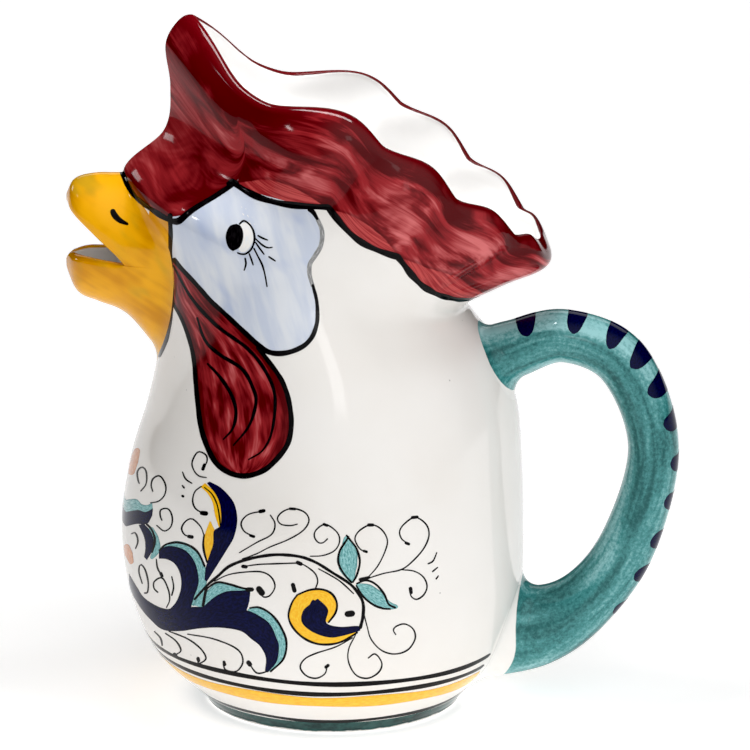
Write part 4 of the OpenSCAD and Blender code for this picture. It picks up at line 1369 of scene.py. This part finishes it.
def bill_surface(form, upper):
    """A hollow bill as a grid of lines from root to tip: an outer arch with a quarter round at its root,
    a rounded lip, an inner arch that closes towards the tip, and the other lip."""
    s = form.sizes
    t = np.linspace(0, 1, BILL_LINES)
    way = np.linspace(0, 1, BILL_STEPS) ** ROOT_CLOSE
    row, a, u = bill_seat(form, upper, t)
    seat = form.skin(a, u)
    rows = mix(row[:, None], BILL_END, way)
    x = row_at(form.bill_rows(upper), rows)[..., 0]
    lift = LIP_ROUND * smooth01((-s.mouth_corner - x) / LIP_RUN)
    tall = np.abs(form.bill(upper, 0.5, rows)[..., 2] - form.bill(upper, 0.0, rows)[..., 2])
    start = np.arcsin(clamp01(lift / np.maximum(tall, TINY)) * LIP_SHARE) / np.pi
    turns = mix(start, 1 - start, t[:, None])
    outer = form.bill(upper, turns, rows)
    spread = root_spread(form, seat, a, u, np.array([-s.neck_front, 0, s.mouth_z]))
    outer = root_fillet(form, outer, (a, u), spread, bill_fillet(upper, t))
    inner_row, _, _ = bill_seat(form, upper, t, s.bill_wall)
    inner_rows = mix(inner_row[:, None] - HOLLOW_LAP, BILL_END, way)
    hollow = np.sqrt(1 - clamp01(inner_rows / BILL_ROWS / HOLLOW_SHARE) ** HOLLOW_ROUND)[..., None]
    arch = form.bill(upper, turns, inner_rows, s.bill_wall)
    floor = form.bill(upper, np.where(t < 0.5, 0.0, 1.0)[:, None], inner_rows)
    level = np.stack([arch[..., 0], np.zeros_like(inner_rows), floor[..., 2]], -1)
    inner = mix(level, arch, hollow)
    turn = np.linspace(0, np.pi, BILL_LIPS + 2)[1:-1]

    def lip(one, other, index):
        drop = lift[index] * (1 if upper else -1)
        middle, half = (one + other) / 2, (one - other) / 2
        points = middle + np.cos(turn)[:, None, None] * half
        points[..., 2] -= np.sin(turn)[:, None] * drop * LIP_SHARE
        return points

    lines = np.concatenate([outer, lip(outer[-1], inner[-1], -1), inner[::-1], lip(inner[0], outer[0], 0)])
    inside = np.concatenate([np.zeros(BILL_LINES), turn / np.pi, np.ones(BILL_LINES), 1 - turn / np.pi])
    return lines, inside


class HEN_OT_beak(Operator):
    """Makes the two hollow bills, the yellow that runs on over the head, and the nostrils"""
    bl_idname = "hen.beak"
    bl_label = "Beak"

    def execute(self, context):
        form, canvas = skin_canvas(context)
        studio = context.scene.hen_studio
        material = finish_of(beak_paint, context)
        for upper, name in ((True, "upper_bill"), (False, "lower_bill")):
            lines, inside = bill_surface(form, upper)
            columns, steps = lines.shape[:2]
            points = np.concatenate([lines.reshape(-1, 3), lines[:, -1].mean(0)[None]])
            quads = grid_quads(columns, steps, wrap_rows=True)
            tris = fan(np.arange(columns) * steps + steps - 1, columns * steps, flip=True)
            if upper:
                quads, tris = quads[:, ::-1], tris[:, ::-1]
            inner = np.append(np.repeat(inside, steps), 0)
            lap = comb_lap(points, studio) * (inner < 0.01) * upper
            make_piece(name + "_glaze", points, quads, tris, material, floats={"inner": inner, "lap": lap},
                       replaces=[name])
        cheeks = Films(canvas)
        cheeks.paint(wash(BEAK_SEAM, BEAK_REAR), WASH_FILM)
        cheeks.make("beak_cheeks", material, "beak_yellow", lambda points: {"lap": comb_lap(points, studio)})
        bill = Canvas(lambda t, row: form.bill(True, t, row), *BILL_SPANS, studio)
        lay(context, bill, "nostrils", line_black, LINE_FILM, [stroke(NOSTRIL, WIDTHS["nostril"])])
        return {"FINISHED"}


# The handle: lines round it, steps down it, closeness at its ends, and where the search for its roots begins
GRIP_LINES, GRIP_STEPS, GRIP_CLOSE = 72, 220, 0.75
UPPER_ROOT, LOWER_ROOT, ROOT_TURN = (0.7, 5.7), (7.2, 1.1), 0.15
# Its fillets, and the white glaze round its roots, in millimetres: their size, and what the outer side adds
UPPER_FILLET, LOWER_FILLET = (4.5, -1.5), (7, 0)
UPPER_BARE, LOWER_BARE, BARE_SOFT = (0.5, -3), (9.5, 8), 6
# Dashes down it: where each lies along the grip, and how far it reaches round the near side, in degrees
DASHES = ((1.43, 62), (2.13, 66), (2.66, 72), (3.02, 72), (3.38, 68), (3.74, 56), (4.13, 46), (4.48, 46),
          (4.86, 50), (5.26, 52), (5.76, 40))
DASH_HALF, DASH_FAR, DASH_GRID = 3.6 * MM, 70, (25, 9)
DASH_TAPER, DASH_END, DASH_BLUNT, DASH_NUDGE = 0.3, 0.97, 7, 0.01
DASH_SWELL, DASH_SWAY, DASH_PACE = 0.1, 0.008, 5


class HEN_OT_handle(Operator):
    """Makes the pulled handle with its flared roots and painted dashes"""
    bl_idname = "hen.handle"
    bl_label = "Handle"

    def execute(self, context):
        form = hen_form(context)
        n, steps = GRIP_LINES, GRIP_STEPS
        turn = np.linspace(0, 2 * np.pi, n, endpoint=False)

        def root(row, height):
            start = np.broadcast_arrays(row, np.pi + ROOT_TURN * np.sin(turn), height)
            return meet_skin(form, lambda t: form.grip(turn, t), start)

        def fillet(lines, seat, size):
            spread = root_spread(form, lines[:, 0], *seat, lines[:, 0].mean(0))
            return root_fillet(form, lines, seat, spread, (size[0] + size[1] * np.cos(turn)) * MM)

        upper_row, *upper_seat = root(*UPPER_ROOT)
        lower_row, *lower_seat = root(*LOWER_ROOT)
        way = np.linspace(0, 1, steps)
        way = way - GRIP_CLOSE * np.sin(2 * np.pi * way) / (2 * np.pi)
        lines = form.grip(turn[:, None], mix(upper_row[:, None], lower_row[:, None], way))
        lines = fillet(lines, upper_seat, UPPER_FILLET)
        lines = fillet(lines[:, ::-1], lower_seat, LOWER_FILLET)[:, ::-1]
        down = np.linalg.norm(np.diff(lines, axis=1, prepend=lines[:, :1]), axis=-1).cumsum(1)
        ring = np.stack([np.cos(turn), np.sin(turn)], -1)
        low, high = (size[0] + size[1] * ring[:, :1] for size in (LOWER_BARE, UPPER_BARE))
        bare = 0.5 + np.maximum(low * MM - (down[:, -1:] - down), high * MM - down) / (BARE_SOFT * MM)
        around, across = np.repeat(ring, steps, axis=0).T
        points = np.concatenate([lines.reshape(-1, 3), lines[:, [0, -1]].mean(0)])
        quads = grid_quads(n, steps, wrap_rows=True)[:, ::-1]
        first = np.arange(n) * steps
        tris = np.concatenate([fan(first, n * steps), fan(first + steps - 1, n * steps + 1, flip=True)])
        make_piece("handle_glaze", points, quads, tris, finish_of(handle_paint, context),
                   floats={"bare": np.append(bare, [1, 1]), "down": np.append(down, [0, 0]),
                           "around": np.append(around, [0, 0]), "across": np.append(across, [0, 0])},
                   replaces=["handle"])
        film = Films()
        side, lane = (np.linspace(-1, 1, n) for n in DASH_GRID)
        side = side[:, None]
        uv = np.stack(np.broadcast_arrays(side, (lane + 1) / 2), -1)
        for k, (row, reach) in enumerate(DASHES):
            ends = form.grip(0, [row - DASH_NUDGE, row + DASH_NUDGE])
            pace = np.linalg.norm(np.diff(ends, axis=0)) / (2 * DASH_NUDGE)
            spread = DASH_HALF / pace * (1 - DASH_TAPER * side**2)
            spread = spread * np.sqrt(1 - DASH_END * np.abs(side) ** DASH_BLUNT)
            spread = spread * (1 + DASH_SWELL * math.sin(DASH_PACE * k))
            angle = np.radians(np.where(side > 0, reach, DASH_FAR) * side)
            t = row + spread * lane + DASH_SWAY * np.sin(DASH_PACE * side + k)
            film.add(form.grip, np.broadcast_to(angle, t.shape), t, uv, LINE_FILM, mirror=False)
        film.make("handle_dashes", finish_of(scroll_navy, context))
        return {"FINISHED"}


# The line under the comb: its angles and count, its width, and its sway
COMB_LINE, COMB_LINE_WIDTH, COMB_LINE_DROP = (3, 180, 500), 2.1 * MM, 0.02
COMB_LINE_SWAY, COMB_LINE_PACE = 0.15, 31


class HEN_OT_outlines(Operator):
    """Paints the black outlines under the comb and behind the beak"""
    bl_idname = "hen.outlines"
    bl_label = "Outlines"

    def execute(self, context):
        form, canvas = skin_canvas(context)
        film = Films(canvas)
        a = np.radians(np.linspace(*COMB_LINE))
        width = COMB_LINE_WIDTH * (1 + COMB_LINE_SWAY * np.sin(COMB_LINE_PACE * a))
        film.add(form.skin, *skin_ribbon(form, a, form.comb_edge(a) - COMB_LINE_DROP, width), COMB_FILM)
        film.paint(stroke(BEAK_REAR, WIDTHS["beak"]), BEAK_FILM)
        film.paint(stroke(CUSP_LINE, WIDTHS["cusp"]), CUSP_FILM)
        film.make("outlines", finish_of(line_black, context))
        return {"FINISHED"}


class HEN_OT_face(Operator):
    """Paints the face on both sides: its wash, eyes, lashes and wattles"""
    bl_idname = "hen.face"
    bl_label = "Face"

    def execute(self, context):
        _, canvas = skin_canvas(context)
        lines = [wash(*PUPIL, *SMALL_GRID)]
        for marks, width in ((EYE_LINE, "eye_line"), (FACE_LINE_START, "face_start"),
                             (FACE_LINE, "face_line")):
            lines.append(stroke(marks, WIDTHS[width]))
        lines += [stroke(marks, WIDTHS["lash"], LASH_LANES) for marks in LASHES.values()]
        lines.append(stroke(WATTLE_LINE, WIDTHS["wattle"]))
        lines += [stroke(marks, WIDTHS["fold"]) for marks in WATTLE_FOLDS.values()]
        wattle = wash(WATTLE_LEFT, WATTLE_RIGHT, WATTLE_STEPS)
        white = stroke(EYE_WHITE, WIDTHS["eye_white"], EYE_LANES)
        pale = stroke(FACE_LINE_PALE, WIDTHS["pale"])
        lay(context, canvas, "face_wash", face_wash, WASH_FILM, [wash(FACE_TOP, FACE_LOW)], "white_glaze")
        lay(context, canvas, "wattles", wattle_red, COLOUR_FILM, [wattle], "comb_red")
        lay(context, canvas, "eye_whites", eye_white, COLOUR_FILM, [white], "white_glaze")
        lay(context, canvas, "face_lines_pale", line_pale, LINE_FILM, [pale])
        lay(context, canvas, "face_lines", line_black, PEN_FILM, lines)
        return {"FINISHED"}


class HEN_OT_scrolls(Operator):
    """Paints the leafy scrolls round the belly"""
    bl_idname = "hen.scrolls"
    bl_label = "Scrolls"

    def execute(self, context):
        _, canvas = skin_canvas(context)
        for finish, washes, strokes, caps, height, slot in (
                (scroll_teal, TEAL_WASHES, TEAL_STROKES, [TEAL_CAP], TEAL_FILM, "handle_teal"),
                (scroll_yellow, YELLOW_WASHES, {}, [], COLOUR_FILM, "beak_yellow"),
                (scroll_peach, {}, PEACH_STROKES, [], COLOUR_FILM, None),
                (scroll_navy, NAVY_WASHES, NAVY_STROKES, [NAVY_CAP], NAVY_FILM, None)):
            film = Films(canvas)
            for edges in washes.values():
                film.paint(wash(*edges, *SCROLL_GRID), height)
            for points, widths in strokes.values():
                film.paint(stroke(points, widths, BROAD_LANES), height)
            for edges in caps:
                film.paint(wash(*edges, *SMALL_GRID), height, to_front=True)
            film.make(finish.__name__, finish_of(finish, context), slot)
        line = Films(canvas)
        for marks, width in ((STEMS, "stem"), (OUTLINES, "outline"), (TENDRILS, "tendril")):
            for points in marks.values():
                line.paint(stroke(points, WIDTHS[width], PEN_LANES), PEN_FILM)
        for *points, width in BLOBS.values():
            start, end = np.reshape(points, (2, 2))
            over = unit(end - start) * width / 2
            line.paint(stroke((start - over, end + over), width, BLOB_LANES), BLOB_FILM)
        line.make("scroll_lines", finish_of(line_black, context))
        return {"FINISHED"}


class HEN_OT_bands(Operator):
    """Paints the bands round the foot of the belly"""
    bl_idname = "hen.bands"
    bl_label = "Bands"

    def execute(self, context):
        form = hen_form(context)
        rows = np.linspace(0, BELLY_ROW, BELLY_STEPS)
        heights = row_at(form.rings, rows)[:, 1]

        def band(film, middle, width, end, height, lean=BAND_LEAN):
            a = np.radians(np.linspace(-end, end, BAND_GRID[0]))[:, None]
            lane = np.linspace(0, 1, BAND_GRID[1])
            fade = clamp01((np.radians(end) - np.abs(a)) / BAND_FADE) ** 0.5
            slow, quick, press = (size * np.sin(waves * a + shift) for (size, waves), shift in (
                (SLOW_SWAY, middle), (QUICK_SWAY, 0), (PRESS_SWAY, middle)))
            sway = slow + quick + lean * np.cos(a)
            z = middle + sway + (lane - 0.5) * width * (np.maximum(fade, LEAST_PRESS) * (1 + press))
            uv = np.stack(np.broadcast_arrays(a, lane), -1)
            u = np.interp(z * MM, heights, rows)
            film.add(form.skin, np.broadcast_to(a, z.shape), u, uv, height, mirror=False)

        line, yellow = Films(), Films()
        band(line, *BANDS["upper"], BAND_END, LINE_FILM)
        band(line, *BANDS["lower"], LOWER_END, LINE_FILM)
        band(line, *BANDS["foot"], FOOT_END, LINE_FILM, FOOT_LEAN)
        band(yellow, *YELLOW_BAND, BAND_END, COLOUR_FILM)
        line.make("band_lines", finish_of(line_black, context))
        yellow.make("band_yellow", finish_of(scroll_yellow, context), "beak_yellow")
        return {"FINISHED"}


# A soft lobe of sky over the camera's right shoulder, the floor, and the picture's black
SKY_WAY, SKY_GLOW, SKY_START = Vector((0.48, -0.72, 0.5)), 1.4, 0.4
FLOOR_HALF, FLOOR_GLOW, FLOOR_DIM, FLOOR_ROUGHNESS = 6, 0.55, 0.985, 0.6
BLACK_LEVEL, SENSOR_WIDTH, CLIP_END = 0.004, 36, 50
# Lamps: place, size, power in watts, and the point that each is turned to
MIDDLE = (0, 0, 0.12)
LAMPS = {
    "pane": ((0.35, -2.3, 1.1), (0.3, 0.5), 1.2, MIDDLE),
    "glint": ((-1.6, -0.8, 1.2), (0.1, 0.1), 0.9, MIDDLE),
    "window": ((-1.7, 0.6, 0.9), (0.36, 0.36), 2.8, MIDDLE),
    "mouth": ((0, -0.02, 0.34), (0.12, 0.03), 0.34, (0.02, 0.045, 0.19)),
    "backdrop": ((0, 2.8, 1.8), (3.5, 1.2), 14, (0, 1.7, 0)),
}


def look(obj, place, way):
    """Puts a lamp or camera at a place, turned a given way, and links it."""
    obj.location = place
    obj.rotation_euler = Vector(way).to_track_quat("-Z", "Y").to_euler()
    bpy.context.scene.collection.objects.link(obj)


class HEN_OT_stage(Operator):
    """Makes the pale floor, the soft studio light and the camera at the photograph's angle"""
    bl_idname = "hen.stage"
    bl_label = "Studio"

    def execute(self, context):
        scene = context.scene
        studio = scene.hen_studio
        scene.view_settings.view_transform = "Standard"
        scene.view_settings.use_curve_mapping = True
        scene.view_settings.curve_mapping.black_level = [BLACK_LEVEL] * 3
        scene.view_settings.curve_mapping.update()
        mesh = bpy.data.meshes.new("floor")
        corners = [(x * FLOOR_HALF, y * FLOOR_HALF, 0) for x, y in ((-1, -1), (1, -1), (1, 1), (-1, 1))]
        mesh.from_pydata(corners, [], [range(4)])
        floor = bpy.data.objects.new("floor", mesh)
        scene.collection.objects.link(floor)
        finish = Finish("floor")
        grain = finish.noise(finish.place(), 3).step(0.2, 0.8)
        dim = [c * FLOOR_DIM for c in studio.floor]
        finish.set(Base_Color=finish.blend(grain, studio.floor, dim), Roughness=FLOOR_ROUGHNESS,
                   Emission_Color=(1, 1, 1), Emission_Strength=FLOOR_GLOW)
        mesh.materials.append(finish.material)
        world = bpy.data.worlds.new("studio")
        world.use_nodes = True
        back = world.node_tree.nodes["Background"]
        back.inputs["Color"].default_value = (1, 1, 1, 1)
        nodes = Nodes(world.node_tree)
        way = nodes.node("ShaderNodeTexCoord", output="Generated")
        facing = nodes.node("ShaderNodeVectorMath", {"operation": "DOT_PRODUCT"},
                            {0: way, 1: SKY_WAY.normalized()}, output="Value")
        nodes.put(back.inputs["Strength"], facing.step(SKY_START, 1) * SKY_GLOW)
        scene.world = world
        for name, (place, size, power, aim) in LAMPS.items():
            light = bpy.data.lights.new(name, "AREA")
            light.shape, light.size, light.size_y, light.energy = "RECTANGLE", *size, power
            look(bpy.data.objects.new(name, light), place, Vector(aim) - Vector(place))
        camera = bpy.data.cameras.new("photo")
        fwd, _, _, eye = photo_axes(studio)
        camera.sensor_width, camera.clip_end = SENSOR_WIDTH, CLIP_END
        camera.lens = studio.scale * studio.distance / PHOTO_SIZE * SENSOR_WIDTH
        viewer = bpy.data.objects.new("photo", camera)
        look(viewer, eye, fwd)
        scene.camera = viewer
        return {"FINISHED"}


class HEN_PT_panel(Panel):
    """Lists the pitcher's pieces and settings"""
    bl_idname = "HEN_PT_panel"
    bl_label = "Hen Pitcher"
    bl_space_type = "VIEW_3D"
    bl_region_type = "UI"
    bl_category = "Pitcher"

    def draw(self, context):
        for operator in OPERATORS:
            self.layout.operator(operator.bl_idname)
        for group in GROUPS:
            settings = getattr(context.scene, group)
            box = self.layout.box()
            for key in settings.__annotations__:
                box.prop(settings, key)


GROUPS = {"hen_sizes": ClaySizes, "hen_colours": PaintColours, "hen_studio": StudioSettings}
OPERATORS = (HEN_OT_body, HEN_OT_foot, HEN_OT_comb, HEN_OT_beak, HEN_OT_handle, HEN_OT_outlines, HEN_OT_face,
             HEN_OT_scrolls, HEN_OT_bands, HEN_OT_stage)


def register():
    for cls in (*GROUPS.values(), *OPERATORS, HEN_PT_panel):
        bpy.utils.register_class(cls)
    for name, group in GROUPS.items():
        setattr(bpy.types.Scene, name, PointerProperty(type=group))


def unregister():
    for name in GROUPS:
        delattr(bpy.types.Scene, name)
    for cls in (HEN_PT_panel, *OPERATORS[::-1], *GROUPS.values()):
        bpy.utils.unregister_class(cls)


def main():
    register()
    for operator in OPERATORS:
        getattr(bpy.ops.hen, operator.bl_idname.split(".")[1])()


if __name__ == "__main__":
    main()
